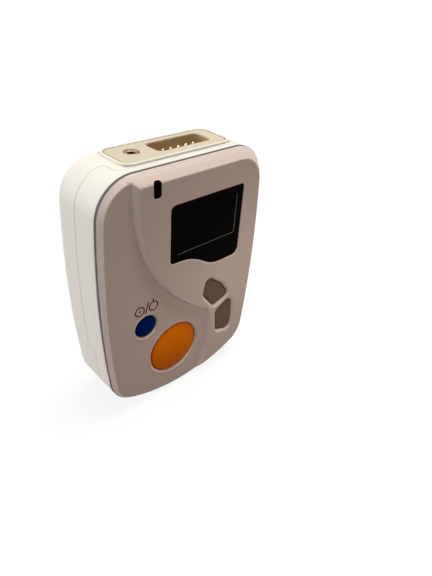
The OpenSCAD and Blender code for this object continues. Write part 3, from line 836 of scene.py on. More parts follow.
def make_cover(outline, case, front, material, seal):
    """Front cover with its wells, and the dark rubber bead in the seam behind it, which also
    paints the seam groove's shade.
    """
    wells = cover_wells(front)
    outer = outline.loop(BEAD, 1.0)
    insets = ([BEAD + 0.08, BEAD + 0.18, 0.55, 0.7, 0.95] + list(np.arange(1.05, 1.8, 0.08))
              + [2.0, 2.25] + list(np.arange(2.4, 3.3, 0.08)) + [3.5, 3.8, 4.2, 4.8])
    rows = [(rings(loop, [0.05, 0.12, 0.22, 0.36, 0.52, 0.68, 0.84, 1.0, 1.2, 1.5]), 0.045)
            for loop, _, _ in wells]
    rows.append((np.vstack([outline.loop(d, 1.0) for d in insets]), 0.045))
    path = resample(STEP, 0.6, closed=False)
    beside = [-1.5, -1.1, -0.9, -0.75] + list(np.arange(-0.6, 0.61, 0.06)) + [0.75, 0.9, 1.1, 1.5]
    rows.append((np.vstack([grown(path, d)[1:-1] for d in beside]), 0.07))
    rows.append((lattice((-CASE_W / 2, 0), (CASE_W / 2, CASE_H), 1.1), 0.5))
    flat = region(outer, [loop for loop, _, _ in wells], rows)
    height = cover_height(flat[0], outline, front)
    shape = Shape()
    shape.slab(flat, SEAM_Y - height, np.minimum(SEAM_Y, SEAM_Y - height + case.wall - LAND),
               along_y)
    shape.build("cover_shell", "root", material, ["front_cover"], sharp=48)
    # Bead of dark seam rubber over the cover's edge: real seal, partly painted shade of the seam
    # groove
    bead = Shape()
    ring = region(outline.loop(0.07, 1.0), [outline.loop(1.1, 1.0)], [])
    bead.slab(ring, SEAM_Y - BEAD + 0.03, FRAME_Y, along_y)
    bead.build("seam_bead_and_shade", "root", seal)


# ------------------------------------------------------------------- sides, back and battery door

# Distances of the rows of points that carry a rounded edge.
EDGE_ROWS = [0.03, 0.07, 0.12, 0.18, 0.26, 0.38]
OPENING_HALF = 19.2
CASE_POSTS = [(-21.6, 62.5), (21.6, 62.5), (-22.6, 29.0), (22.6, 29.0)]
WELL_R, POST_R, SCREW_HOLE_R = 2.1, 2.6, 1.1
HEAD_SEAT_Y = span("case_screws", Y)[1] - 1.2
POST_Y = SEAM_Y + 9.0
RIM_INSET, RIM_HALF_DEPTH = 0.7, 5.85
GROOVE_ROWS = [12.5 + 2.2 * i for i in range(4)]
GROOVE_HALF_L, GROOVE_R = 7.5, 0.6


def parting_line(outline):
    """Line between middle frame and rear parts, as (u, y) points from the bottom middle."""
    cut = outline.find(DOOR_TOP, Z)
    plate_x = middle("connector_plate", X)
    up = [(cut - 0.45, DOOR_Y), (cut - 0.16, DOOR_Y + 0.06), (cut - 0.05, DOOR_Y + 0.35),
          (cut, DOOR_Y + 0.9), (cut + 0.01, PARTING_Y - 0.9), (cut + 0.06, PARTING_Y - 0.35),
          (cut + 0.17, PARTING_Y - 0.06), (cut + 0.5, PARTING_Y)]

    def shoulder(side):
        edge = plate_x + side * OPENING_HALF
        bend = (curve((edge + side * 3.2, PARTING_Y), (edge + side * 1.4, PARTING_Y - 0.1),
                      (edge + side * 0.3, PARTING_Y - 0.6), (edge + side * 0.1, PARTING_Y - 2.4),
                      12)
                + curve((edge, TONGUE_Y + 1.9), (edge - side * 0.1, TONGUE_Y + 0.6),
                        (edge - side * 0.8, TONGUE_Y), (edge - side * 2.4, TONGUE_Y), 10))
        return [(outline.at_x(x), y) for x, y in bend]

    half = [(0.0, DOOR_Y)] + up + shoulder(1)
    down = [(outline.total - u, y) for u, y in up[::-1]]
    line = half + shoulder(-1)[::-1] + down + [(outline.total, DOOR_Y)]
    filled = [line[0]]
    for (u0, y0), (u1, y1) in zip(line, line[1:]):
        count = max(1, int(math.hypot(u1 - u0, y1 - y0) / 1.0))
        filled += [(u0 + (u1 - u0) * i / count, y0 + (y1 - y0) * i / count)
                   for i in range(1, count + 1)]
    return filled


def side_place(outline, case, cuts=()):
    """Places a point (u, w) of the sides at a depth under the skin.

    w runs along Y, then round the back edge.
    """
    bend = BACK_Y - case.back_edge_r

    def place(p, depth):
        u, w = p
        angle = min(max(w - bend, 0) / case.back_edge_r, math.pi / 2)
        radius = case.back_edge_r - depth
        inset = case.back_edge_r - radius * math.cos(angle)
        y = w if w < bend else bend + radius * math.sin(angle)
        x, z = outline.at(u, inset)
        for cut_u, cut_z in cuts:
            if abs((u - cut_u + 1) % outline.total - 1) < TINY:
                z = cut_z
        return x, y, z
    return place


def make_frame(outline, case, material, line):
    """Ring of the case sides between the cover and the rear parts."""
    bottom = [(u, FRAME_Y) for u in np.linspace(0, outline.total, int(outline.total))]
    ends = list(np.linspace(FRAME_Y, line[0][1], 6))[1:-1]
    outer = (bottom + [(outline.total, y) for y in ends] + line[::-1]
             + [(0.0, y) for y in ends[::-1]])
    back_line = np.array(line)
    near = np.vstack([grown(back_line, d)[1:-1] for d in EDGE_ROWS]
                     + [np.array(bottom)[1:-1] + (0, d) for d in EDGE_ROWS])
    rows = [(near, 0.025),
            (lattice((0.6, FRAME_Y + 0.6), (outline.total - 0.5, PARTING_Y), 1.1), 0.45)]
    flat = region(np.array(outer), [], rows)
    from_back, _ = line_distance(flat[0], back_line, False)
    skin = np.maximum(round_over(from_back, case.edge_r),
                      round_over(flat[0][:, 1] - FRAME_Y, case.seam_r))

    def on_join(a, b):
        return max(a[0], b[0]) < TINY or min(a[0], b[0]) > outline.total - TINY

    shape = Shape()
    shape.slab(flat, skin, case.wall, side_place(outline, case), on_join)
    shape.build("frame_shell", "root", material, ["middle_frame"])


def back_part(shape, outline, case, reach, lower_edge, cut_z, hole=None, cap_holes=(),
              relief=None):
    """Skin of the sides from a lower edge and round the back edge, with the flat back.

    The lower edge is given as (u, w) points. reach is the pair of places where the cut at
    height cut_z meets the outline.
    """
    u_start, u_end = reach
    end_w = BACK_Y - case.back_edge_r + case.back_edge_r * math.pi / 2
    top_row = [(u, end_w) for u in np.linspace(u_start, u_end, int(u_end - u_start))]
    side_w = list(np.linspace(lower_edge[-1][1], end_w, 16))[1:-1]
    start_w = list(np.linspace(lower_edge[0][1], end_w, 16))[1:-1]
    outer = np.array(lower_edge + [(u_end, w) for w in side_w] + top_row[::-1]
                     + [(u_start, w) for w in start_w[::-1]])
    low = min(p[1] for p in lower_edge)
    near = [grown(np.array(lower_edge), -d)[1:-1] for d in EDGE_ROWS]
    near += [np.column_stack([np.full(40, u), np.linspace(low, end_w, 40)])
             for d in EDGE_ROWS for u in (u_start + d, u_end - d)]
    bend = BACK_Y - case.back_edge_r
    arcs = [np.column_stack([np.linspace(u_start, u_end, int(u_end - u_start)),
                             np.full(int(u_end - u_start), bend + case.back_edge_r * a)])
            for a in np.linspace(0, math.pi / 2, 9)[:-1]]
    rows = [(np.vstack(near), 0.025), (np.vstack(arcs), 0.2),
            (lattice((u_start + 0.6, low + 0.5), (u_end - 0.5, bend), 1.2), 0.5)]
    flat = region(outer, [hole] if hole is not None else [], rows)
    points = flat[0]
    edge, _ = line_distance(points, lower_edge, False)
    edge = np.minimum(edge, np.minimum(points[:, 0] - u_start, u_end - points[:, 0]))
    skin = round_over(edge, case.edge_r)
    cuts = ((u_start % outline.total, cut_z), (u_end % outline.total, cut_z))
    shape.slab(flat, skin, case.wall, side_place(outline, case, cuts),
               open_at=lambda a, b: min(a[1], b[1]) > end_w - TINY)
    rim = [outline.at(u, case.back_edge_r) for u, _ in top_row]
    rim[0], rim[-1] = (rim[0][0], cut_z), (rim[-1][0], cut_z)
    known = {(round(x, 4), round(z, 4)) for x, z in rim}
    inwards = 1 if rim[len(rim) // 2][1] > cut_z else -1
    across = np.linspace(rim[-1][0], rim[0][0], 30)
    cap_loop = np.array(rim + [(x, cut_z) for x in across[1:-1]])
    edge_rows = [np.column_stack([across, np.full(30, cut_z + inwards * d)]) for d in EDGE_ROWS]
    cap_rows = [(np.vstack(edge_rows), 0.025)]
    cap_rows += [(rings(loop, [0.06, 0.14, 0.24, 0.5]), 0.04) for loop in cap_holes]
    if relief is not None:
        cap_rows.append((relief[0], 0.1))
    cap_rows.append((lattice((-CASE_W / 2, 0), (CASE_W / 2, CASE_H), 2.4), 0.9))
    cap = region(cap_loop, cap_holes, cap_rows)
    drop = round_over(np.abs(cap[0][:, 1] - cut_z), case.edge_r)
    for loop in cap_holes:
        away, _ = line_distance(cap[0], loop, True)
        drop = np.maximum(drop, round_over(away, 0.25))
    if relief is not None:
        drop = np.maximum(drop, relief[1](cap[0]))
    shape.slab(cap, BACK_Y - drop, BACK_Y - case.wall, along_y,
               open_at=lambda a, b: all((round(p[0], 4), round(p[1], 4)) in known for p in (a, b)))


def make_rear(outline, case, material, line):
    """Rear shell with the opening for the connector plate and the four screw wells."""
    start = outline.find(DOOR_TOP + case.gap, Z)
    end = outline.total - start
    between = [p for p in line if start + 0.3 < p[0] < end - 0.3]
    edge = [(start, PARTING_Y)] + between + [(end, PARTING_Y)]
    plate_x, plate_y = middle("connector_plate", X), middle("connector_plate", Y)
    half = (size_along("connector_plate", X) / 2 - RIM_INSET, RIM_HALF_DEPTH)
    right, left = outline.at_x(plate_x + half[0]), outline.at_x(plate_x - half[0])
    w0, w1 = plate_y - half[1], plate_y + half[1]
    hole = resample([(right, w0), (left, w0), (left, w1), (right, w1)], 1.0)
    wells = [circle(p, WELL_R, 40) for p in CASE_POSTS]
    shape = Shape()
    back_part(shape, outline, case, (start, end), edge, DOOR_TOP + case.gap, hole, wells)
    for x, z in CASE_POSTS:
        post = [(WELL_R, BACK_Y - case.wall + 0.1), (WELL_R, HEAD_SEAT_Y),
                (SCREW_HOLE_R, HEAD_SEAT_Y), (SCREW_HOLE_R, POST_Y), (POST_R, POST_Y),
                (POST_R, BACK_Y - case.wall + 0.1), (WELL_R, BACK_Y - case.wall + 0.1)]
        shape.lathe(post, lambda a, b, h, x=x, z=z: (x + a, h, z + b), 40)
    shape.build("rear_skin", "root", material, ["rear_shell"])
    rim = Shape()
    outer = round_rect((plate_x, plate_y), (2 * half[0] + 1.0, 12.6), 3.2)
    inner = round_rect((plate_x, plate_y), (2 * half[0] - 0.5, 11.1), 2.4)
    near = [(rings(outer, [-0.05, -0.12, -0.2, -0.3]), 0.04),
            (rings(inner, [0.05, 0.12, 0.2]), 0.04)]
    flat = region(outer, [inner], near)
    from_out, _ = line_distance(flat[0], outer, True)
    from_in, _ = line_distance(flat[0], inner, True)
    top = RIM_TOP - np.maximum(round_over(from_out, 0.3), round_over(from_in, 0.2))
    rim.slab(flat, top, CASE_H - 1.4, along_z)
    rim.build("connector_rim", "root", material)


def make_door(outline, case, material):
    """Battery door with grip grooves on its back."""
    reach = outline.find(DOOR_TOP, Z)
    edge = [(u, DOOR_Y) for u in np.linspace(-reach, reach, int(2 * reach))]

    def dent(points):
        depth = np.zeros(len(points))
        for z in GROOVE_ROWS:
            along = np.maximum(np.abs(points[:, 0]) - GROOVE_HALF_L + GROOVE_R, 0)
            away = np.hypot(along, points[:, 1] - z)
            depth = np.maximum(depth, np.sqrt(np.maximum(GROOVE_R ** 2 - away ** 2, 0)) - 0.02)
        return np.maximum(depth, 0)

    dense = [(x, z + d) for z in GROOVE_ROWS for d in np.linspace(-0.75, 0.75, 13)
             for x in np.arange(-GROOVE_HALF_L - 0.3, GROOVE_HALF_L + 0.31, 0.3)]
    shape = Shape()
    back_part(shape, outline, case, (-reach, reach), edge, DOOR_TOP,
              relief=(np.array(dense), dent))
    shape.build("door_shell", "door", material, ["battery_door"])


# -------------------------------------------------------------------------------------- connector

SOCKET = (4.6, 2.1)
SOCKET_SIZE = (17.4, 6.6)
INSERT = (middle("thread_insert", X), middle("thread_insert", Y))
INSERT_R = size_along("thread_insert", X) / 2
FLOOR_Z = span("thread_insert", Z)[0] - 2.0
SOCKET_CORNER = 1.6
PLATE_DEPTH, PLATE_CORNER = 10.7, 2.3
BORE_R, THREAD_PITCH = 1.03, 0.45
PIN_COUNT, PIN_R = 5, 0.45


def make_plate(material, inner):
    """Beige plate with the socket recess, and a darker sheet along the recess walls and floor that
    paints their shade.
    """
    plate_x, plate_y = middle("connector_plate", X), middle("connector_plate", Y)
    width = size_along("connector_plate", X) - 2.4
    top_z = span("connector_plate", Z)[1]
    outer = round_rect((plate_x, plate_y), (width, PLATE_DEPTH), PLATE_CORNER)
    socket = round_rect(SOCKET, SOCKET_SIZE, SOCKET_CORNER, 0.4)
    bore = circle(INSERT, INSERT_R + 0.03, 48)
    rows = [(rings(socket, [0.04, 0.1, 0.18, 0.28, 0.42, 0.6]), 0.035),
            (rings(bore, [0.04, 0.1, 0.16, 0.3]), 0.035),
            (rings(outer, [-0.05, -0.12, -0.2, -0.4]), 0.04),
            (rings(socket, [1.15, 1.2, 1.25]), 0.03),
            (lattice((plate_x - 17, plate_y - 6), (plate_x + 17, plate_y + 6), 1.2), 0.4)]
    flat = region(outer, [socket, bore], rows)
    from_out, _ = line_distance(flat[0], outer, True)
    from_socket, _ = line_distance(flat[0], socket, True)
    from_bore, _ = line_distance(flat[0], bore, True)
    drop = np.maximum.reduce([round_over(from_out, 0.25), round_over(from_socket, 0.35),
                              round_over(from_bore, 0.12)])
    under = np.where(from_socket < 1.18, FLOOR_Z - 0.6, top_z - 2.4)
    shape = Shape()
    shape.slab(flat, top_z - drop, under, along_z)
    shape.build("plate_body", "root", material, ["connector_plate"])
    # Darker sheet laid in the socket recess: painted shade of its walls and floor
    shade_sheet = Shape()
    floor = round_rect(SOCKET, (SOCKET_SIZE[0] + 0.6, SOCKET_SIZE[1] + 0.6), 1.8, 0.6)
    ledge = region(floor, [], [(lattice((SOCKET[0] - 9, -2), (SOCKET[0] + 9, 6), 1.2), 0.5)])
    shade_sheet.slab(ledge, FLOOR_Z, FLOOR_Z - 1.2, along_z)
    wall = region(round_rect(SOCKET, (SOCKET_SIZE[0] + 0.2, SOCKET_SIZE[1] + 0.2), 1.7, 0.4),
                  [round_rect(SOCKET, (SOCKET_SIZE[0] - 0.1, SOCKET_SIZE[1] - 0.1), 1.55, 0.4)],
                  [])
    shade_sheet.slab(wall, top_z - 0.4, FLOOR_Z - 0.6, along_z)
    shade_sheet.build("socket_shade_sheet", "root", inner)


def make_insert(material, inner):
    """Threaded insert: a flat collar set in a narrow groove, and a near-black plug with turned
    grooves filling the bore as painted shade of the bore.
    """
    low, top = span("thread_insert", Z)
    top -= 0.12
    place = (lambda a, b, h: (INSERT[0] + a, INSERT[1] + b, h))
    collar = Shape()
    collar.lathe([(BORE_R + 0.2, low), (INSERT_R, low), (INSERT_R, top - 0.5),
                  (INSERT_R - 0.3, top - 0.5), (INSERT_R - 0.3, top - 0.1), (INSERT_R - 0.4, top),
                  (BORE_R + 0.3, top), (BORE_R + 0.1, top - 0.25), (BORE_R + 0.1, top - 0.4),
                  (BORE_R + 0.2, top - 0.4), (BORE_R + 0.2, low)], place, 48)
    collar.build("insert_collar", "root", material, ["thread_insert"], sharp=30)
    # Near-black plug with the thread grooves, filling the bore: painted shade inside the bore
    profile = [(0, low), (BORE_R + 0.25, low), (BORE_R + 0.25, top - 0.35),
               (BORE_R + 0.05, top - 0.35)]
    z = top - 0.4
    while z > low + 0.5 + THREAD_PITCH:
        profile += [(BORE_R + 0.16, z - THREAD_PITCH / 2), (BORE_R + 0.01, z - THREAD_PITCH)]
        z -= THREAD_PITCH
    profile += [(BORE_R, low + 0.5), (0, low + 0.3)]
    thread = Shape()
    thread.lathe(profile, place, 48)
    thread.build("insert_thread_shade", "root", inner, sharp=30)


def make_pins(material):
    """Contact pins with a tapered, domed tip."""
    low, top = span("connector_pins", Z)
    x0, x1 = span("connector_pins", X)
    shape = Shape()
    profile = [(0, low), (PIN_R - 0.1, low), (PIN_R, low + 0.1), (PIN_R, top - 0.75),
               (PIN_R - 0.07, top - 0.6), (PIN_R - 0.1, top - 0.25), (PIN_R - 0.17, top - 0.1),
               (PIN_R - 0.3, top - 0.02), (0, top)]
    for i in range(PIN_COUNT):
        x = x0 + PIN_R + (x1 - x0 - 2 * PIN_R) * i / (PIN_COUNT - 1)
        shape.lathe(profile, lambda a, b, h, x=x: (x + a, SOCKET[1] + b, h), 24)
    shape.build("contact_pins", "root", material, ["connector_pins"], sharp=50)


# ---------------------------------------------------------------- display, lamp window and symbol

# Left, right, low and top of the light line painted on the window for the display glass's edge (a
# painted highlight), and half its width.
GLASS_LINE, GLASS_LINE_HALF = (-5.4, 15.5, 51.0, 63.2), 0.07
INK_WIDTH, INK_LIFT, INK_RING_R = 0.36, 0.012, 1.42
DOTTED_RING, PLAIN_RING = (-16.86, 36.75), (-12.34, 36.74)


def make_display(colours):
    """Display window pane, a light line painted on it as the highlight on the edge of the glass
    behind it, and the lamp window.
    """
    glossy = plastic("display_window", tuple(colours.window), roughness=0.16, mottle=0.1,
                     grain=900.0, depth=0.02, marks=0.0, specular=0.005)
    shape = Shape()
    front, back = span("display_window", Y)
    loop = window_loop()
    flat = region(loop, [], [(rings(loop, [-0.04, -0.1, -0.18, -0.3]), 0.03),
                             (lattice((-9, 42), (19, 67), 2.5), 0.6)])
    edge, _ = line_distance(flat[0], loop, True)
    shape.slab(flat, front + round_over(edge, 0.16), back, along_y)
    shape.build("window_pane", "root", glossy, ["display_window"])
    # Light line on the pane's front: painted highlight of the glass edge behind it
    line = plastic("glass_edge_highlight", (0.2, 0.18, 0.165), roughness=0.3, specular=0.1)
    thin = Shape()
    (left, right, low, top), half = GLASS_LINE, GLASS_LINE_HALF
    corner = [(left, low - half), (right + half, low - half), (right + half, top),
              (right - half, top), (right - half, low + half), (left, low + half)]
    flat = region(resample(corner, 0.8), [], [])
    thin.slab(flat, front - 0.012, front + 0.02, along_y)
    thin.build("glass_edge_highlight_line", "root", line)
    pill = Shape()
    loop = pill_loop()
    flat = region(loop, [], [(rings(loop, [-0.05, -0.12, -0.22, -0.4]), 0.04)])
    edge, _ = line_distance(flat[0], loop, True)
    pill.slab(flat, SEAM_Y - RAISED_H + 0.05 + round_over(edge, 0.1), SEAM_Y, along_y)
    pill.build("lamp_window", "root", glossy, ["indicator_window"])


def make_symbol(front, colours):
    """Printed power symbol above the blue button: dotted ring, stroke, ring with a short stem."""
    ink = plastic("symbol_ink", tuple(colours.symbol), roughness=0.6, marks=0.0, specular=0.05)
    face = SEAM_Y - front.low_h
    shape = Shape()

    def print_on(loop, holes=()):
        shape.slab(region(loop, holes, []), face - INK_LIFT, face + 0.05, along_y)

    def stroke(a, b):
        print_on(blob([(*a, INK_WIDTH / 2), (*b, INK_WIDTH / 2)], 0.0, 0.12))

    def ring(centre, radius):
        print_on(circle(centre, radius + INK_WIDTH / 2, 64),
                 [circle(centre, radius - INK_WIDTH / 2, 64)])

    ring(DOTTED_RING, INK_RING_R)
    print_on(circle(DOTTED_RING, 0.3, 24))
    stroke((-15.1, 35.2), (-13.94, 38.7))
    ring(PLAIN_RING, INK_RING_R)
    stroke((-12.3, 38.3), (-12.44, 39.15))
    shape.build("power_symbol", "root", ink)


# ---------------------------------------------------------------------------------------- buttons

def round_button(name, node, body, centre, radius, material, edge_y, top_y, edge_r):
    """Domed round cap with its flange and stem."""
    back_y = span(node, Y)[1]
    dome = edge_y - top_y
    profile = [(0, top_y)]
    for i in range(1, 13):
        r = (radius - edge_r) * i / 12
        profile.append((r, top_y + dome * (r / radius) ** 2.2))
    start = profile[-1][1]
    profile += [(radius - edge_r + edge_r * math.sin(a), start + edge_r * (1 - math.cos(a)))
                for a in np.linspace(0, math.pi / 2, 7)[1:]]
    profile += [(radius, FLANGE_Y), (radius + FLANGE, FLANGE_Y),
                (radius + FLANGE, FLANGE_Y + FLANGE_T), (STEM_R, FLANGE_Y + FLANGE_T),
                (STEM_R, back_y - 0.15), (STEM_R - 0.15, back_y), (0, back_y)]
    shape = Shape()
    shape.lathe(profile, lambda a, b, h: (centre[0] + a, h, centre[1] + b), 128)
    shape.build(name, body, material, [node])


def shaped_key(name, node, body, corners, stem, material):
    """Shaped key with a soft edge, slightly crowned."""
    front, back = span(node, Y)
    loop = blob(corners)
    flat = region(loop, [],
                  [(rings(loop, [-0.06, -0.14, -0.24, -0.36, -0.5, -0.7, -1.0, -1.4]), 0.05),
                   (lattice((4, 11), (20, 40), 0.7), 0.3)])
    edge, _ = line_distance(flat[0], loop, True)
    x0, x1 = loop[:, 0].min(), loop[:, 0].max()
    share = (flat[0][:, 0] - x0) / (x1 - x0)
    crown = 0.1 * np.exp(-edge / 0.5) + 0.5 * (1 - share ** 3)
    shape = Shape()
    shape.slab(flat, front + 0.12 + crown + round_over(edge, 0.4), FLANGE_Y + 0.1, along_y)
    shape.slab(region(blob(corners, KEY_FLANGE), [], []), FLANGE_Y, FLANGE_Y + FLANGE_T, along_y)
    post = [(0, FLANGE_Y + 0.4), (STEM_R, FLANGE_Y + 0.4), (STEM_R, back - 0.15),
            (STEM_R - 0.15, back), (0, back)]
    shape.lathe(post, lambda a, b, h: (stem[0] + a, h, stem[1] + b), 32)
    shape.build(name, body, material, [node])


# -------------------------------------------------------------------------- battery and fasteners

SHANK_R, HEAD_R = 0.85, 1.9
CROSS_REACH, CROSS_HALF, CROSS_DEPTH, CROSS_TURN = 0.95, 0.17, 0.3, 0.4
SPRING_WIRE_R, SPRING_TURNS, SPRING_STEPS, SPRING_BASE_R, SPRING_TAPER = 0.22, 3, 90, 3.2, 1.5
SPRING_PLATE_R, SPRING_PLATE_T = 3.6, 0.4


def make_battery():
    """Cell with its cap and crimped ends, the coil spring and the contact plate."""
    x0, x1 = span("battery_cell", X)
    y, z = middle("battery_cell", Y), middle("battery_cell", Z)
    radius = size_along("battery_cell", Z) / 2

    def lay(a, b, h):
        return h, y + a, z + b

    steel = metal("cell_steel", (0.62, 0.62, 0.6), (0.35, 0.33, 0.3), roughness=0.25, amount=0.2)
    sleeve = plastic("cell_sleeve", (0.03, 0.13, 0.06), roughness=0.22, depth=0.05, coat=0.3)
    ends = Shape()
    ends.lathe([(0, x0), (1.7, x0), (1.9, x0 + 0.2), (1.9, x0 + 0.9), (2.4, x0 + 1.05),
                (radius - 1.1, x0 + 1.05), (radius - 0.6, x0 + 1.2), (radius - 0.6, x1 - 0.25),
                (radius - 1.2, x1 - 0.1), (radius - 1.8, x1 - 0.1), (radius - 2.0, x1), (0, x1)],
               lay, 64)
    ends.build("cell_can", "root", steel, ["battery_cell"])
    wrap = Shape()
    wrap.lathe([(radius - 1.0, x0 + 1.1), (radius - 0.4, x0 + 1.02), (radius - 0.08, x0 + 1.15),
                (radius, x0 + 1.5), (radius, x1 - 0.55), (radius - 0.1, x1 - 0.2),
                (radius - 0.4, x1 - 0.08), (radius - 0.9, x1 - 0.12), (radius - 0.9, x1 - 0.4),
                (radius - 0.5, x1 - 0.6), (radius - 0.5, x0 + 1.6), (radius - 1.0, x0 + 1.4),
                (radius - 1.0, x0 + 1.1)], lay, 64)
    wrap.build("cell_wrap", "root", sleeve)
    bright = metal("coil_steel", (0.66, 0.66, 0.68), (0.4, 0.38, 0.36), roughness=0.22,
                   amount=0.15)
    s0, s1 = span("battery_spring", X)
    coil = Shape()
    start = s1 - SPRING_PLATE_T - SPRING_WIRE_R
    run = s1 - s0 - SPRING_PLATE_T - 2 * SPRING_WIRE_R
    path = []
    for i in range(SPRING_STEPS + 1):
        t = i / SPRING_STEPS
        angle = 2 * math.pi * SPRING_TURNS * t
        r = SPRING_BASE_R - SPRING_TAPER * t
        path.append((start - run * t, y + r * math.cos(angle), z + r * math.sin(angle)))
    coil.tube(path, SPRING_WIRE_R)
    coil.lathe([(0, s1), (SPRING_PLATE_R - 0.05, s1), (SPRING_PLATE_R, s1 - 0.05),
                (SPRING_PLATE_R, s1 - SPRING_PLATE_T + 0.05),
                (SPRING_PLATE_R - 0.05, s1 - SPRING_PLATE_T), (0, s1 - SPRING_PLATE_T)], lay, 48)
    coil.build("coil_spring", "root", bright, ["battery_spring"])
    cad_material("battery_contact", bright)
    cad_material("battery_tray", plastic("tray_plastic", (0.6, 0.55, 0.5), roughness=0.5))


def make_screws():
    """Screws in the wells of the rear shell, with near-black crosses laid on their heads as
    painted shade of the cross recesses, and the zinc finish of the board and tray screws.
    """
    zinc = metal("zinc_screws", (0.5, 0.5, 0.52), (0.28, 0.26, 0.24), roughness=0.32, amount=0.35)
    tip, top = span("case_screws", Y)
    shape = Shape()
    for x, z in CASE_POSTS:
        def at(a, b, h, x=x, z=z):
            return x + a, h, z + b
        shape.lathe([(0, tip), (SHANK_R, tip + 0.5), (SHANK_R, HEAD_SEAT_Y),
                     (HEAD_R - 0.15, HEAD_SEAT_Y), (HEAD_R, HEAD_SEAT_Y + 0.15),
                     (HEAD_R, top - 0.6), (HEAD_R - 0.18, top - 0.3), (HEAD_R - 0.5, top - 0.1),
                     (HEAD_R - 0.8, top), (0, top)], at, 40)
    shape.build("well_screws", "root", zinc, ["case_screws"])
    # Near-black cross on each head: painted shade of the cross recess
    cross = Shape()
    dark = plastic("screw_cross_painted_shade", (0.03, 0.03, 0.032), roughness=0.6)
    for x, z in CASE_POSTS:
        arms = []
        for k in range(4):
            a = math.pi / 2 * k + CROSS_TURN
            c, s = math.cos(a), math.sin(a)
            arms += [(x + CROSS_REACH * c + CROSS_HALF * s, z + CROSS_REACH * s - CROSS_HALF * c),
                     (x + CROSS_REACH * c - CROSS_HALF * s, z + CROSS_REACH * s + CROSS_HALF * c),
                     (x + 0.24 * (c - s), z + 0.24 * (s + c))]
        cross.slab(region(resample(arms, 0.2), [], []), top + 0.01, top - CROSS_DEPTH, along_y)
    cross.build("screw_cross_shade", "root", dark)
    for node in ("board_screws", "tray_screws"):
        cad_material(node, zinc)


def dress_inner_parts():
    """Finishes of the CAD nodes that stay as they are."""
    board = plastic("solder_mask", (0.02, 0.11, 0.045), roughness=0.3, mottle=0.25, grain=1200.0,
                    depth=0.3)
    tin = metal("tinned_steel", (0.6, 0.6, 0.61), (0.36, 0.35, 0.34), roughness=0.3, amount=0.25)
    black = black_finish()
    foam = plastic("gasket_foam", (0.02, 0.02, 0.02), roughness=0.9, grain=1500.0, depth=0.8)
    glass = plastic("display_glass", (0.012, 0.014, 0.016), roughness=0.12, specular=0.5)
    film = plastic("ribbon_film", (0.42, 0.19, 0.04), roughness=0.35, depth=0.05)
    resin = plastic("lamp_resin", (0.75, 0.72, 0.55), roughness=0.2, depth=0.05)
    for node, finish in (("seam_gasket", seal_finish()), ("contact_block", black),
                         ("connector_board", board), ("display_gasket", foam),
                         ("display_glass", glass), ("display_holder", black),
                         ("display_ribbon", film), ("indicator_lamp", resin),
                         ("main_board", board), ("push_switches", tin), ("board_chips", black),
                         ("shield_can", tin), ("sounder", black)):
        cad_material(node, finish)


# ------------------------------------------------------------------------------------------ stage

CAMERA_PLACE = (-71.36, -87.54, 114.55)
CAMERA_RIGHT = (0.7215, -0.6889, 0.0703)
CAMERA_UP = (0.3647, 0.4643, 0.8071)
FOCAL_LENGTH = 38.025
SENSOR = 36.0
FLOOR_HALF = 3
FLOOR_TONES = (0.135, 0.118, 0.104), (0.145, 0.128, 0.114)
# Place and size of each lamp, in metres.
TOP_LAMP = (0.2, -0.03, 0.8), 0.45
SIDE_LAMP = (-0.56, 0.385, 0.14), 0.4
GRAZE_LAMP = (-0.49, -0.06, 0.16), 0.2
GRAZE_TINT = (0.62, 0.78, 1.0)
FILL_LAMP = (0.024, -0.052, 0.038), 0.01


def make_camera():
    """Camera at the photograph's place: its right and up directions give its turn."""
    right = Vector(CAMERA_RIGHT).normalized()
    back = right.cross(Vector(CAMERA_UP)).normalized()
    up = back.cross(right)
    data = bpy.data.cameras.new("photo_camera")
    data.sensor_fit = "HORIZONTAL"
    data.sensor_width = SENSOR
    data.lens = FOCAL_LENGTH
    data.clip_start = 0.005
    camera = bpy.data.objects.new("photo_camera", data)
    camera.matrix_world = Matrix(((right.x, up.x, back.x, CAMERA_PLACE[0] * MM),
                                  (right.y, up.y, back.y, CAMERA_PLACE[1] * MM),
                                  (right.z, up.z, back.z, CAMERA_PLACE[2] * MM), (0, 0, 0, 1)))
    bpy.context.scene.collection.objects.link(camera)
    bpy.context.scene.camera = camera


def add_lamp(name, place, size, power, tint=(1, 1, 1)):
    """Soft square lamp aimed at the middle of the object."""
    data = bpy.data.lights.new(name, "AREA")
    data.shape = "SQUARE"
    data.size = size
    data.energy = power
    data.color = tint
    lamp = bpy.data.objects.new(name, data)
    lamp.location = place
    aim = Vector((0, 0, CASE_H / 2 * MM)) - Vector(place)
    lamp.rotation_euler = aim.to_track_quat("-Z", "Y").to_euler()
    lamp.visible_camera = False
    bpy.context.scene.collection.objects.link(lamp)
    return lamp


def seen_directly(tree):
    """1 for rays from the camera, from reflections and through clear parts, otherwise 0."""
    path = add_node(tree, "LightPath")
    return math_node(tree, "MAXIMUM", path.outputs["Is Camera Ray"],
                     math_node(tree, "MAXIMUM", path.outputs["Is Glossy Ray"],
                               path.outputs["Is Transmission Ray"]))


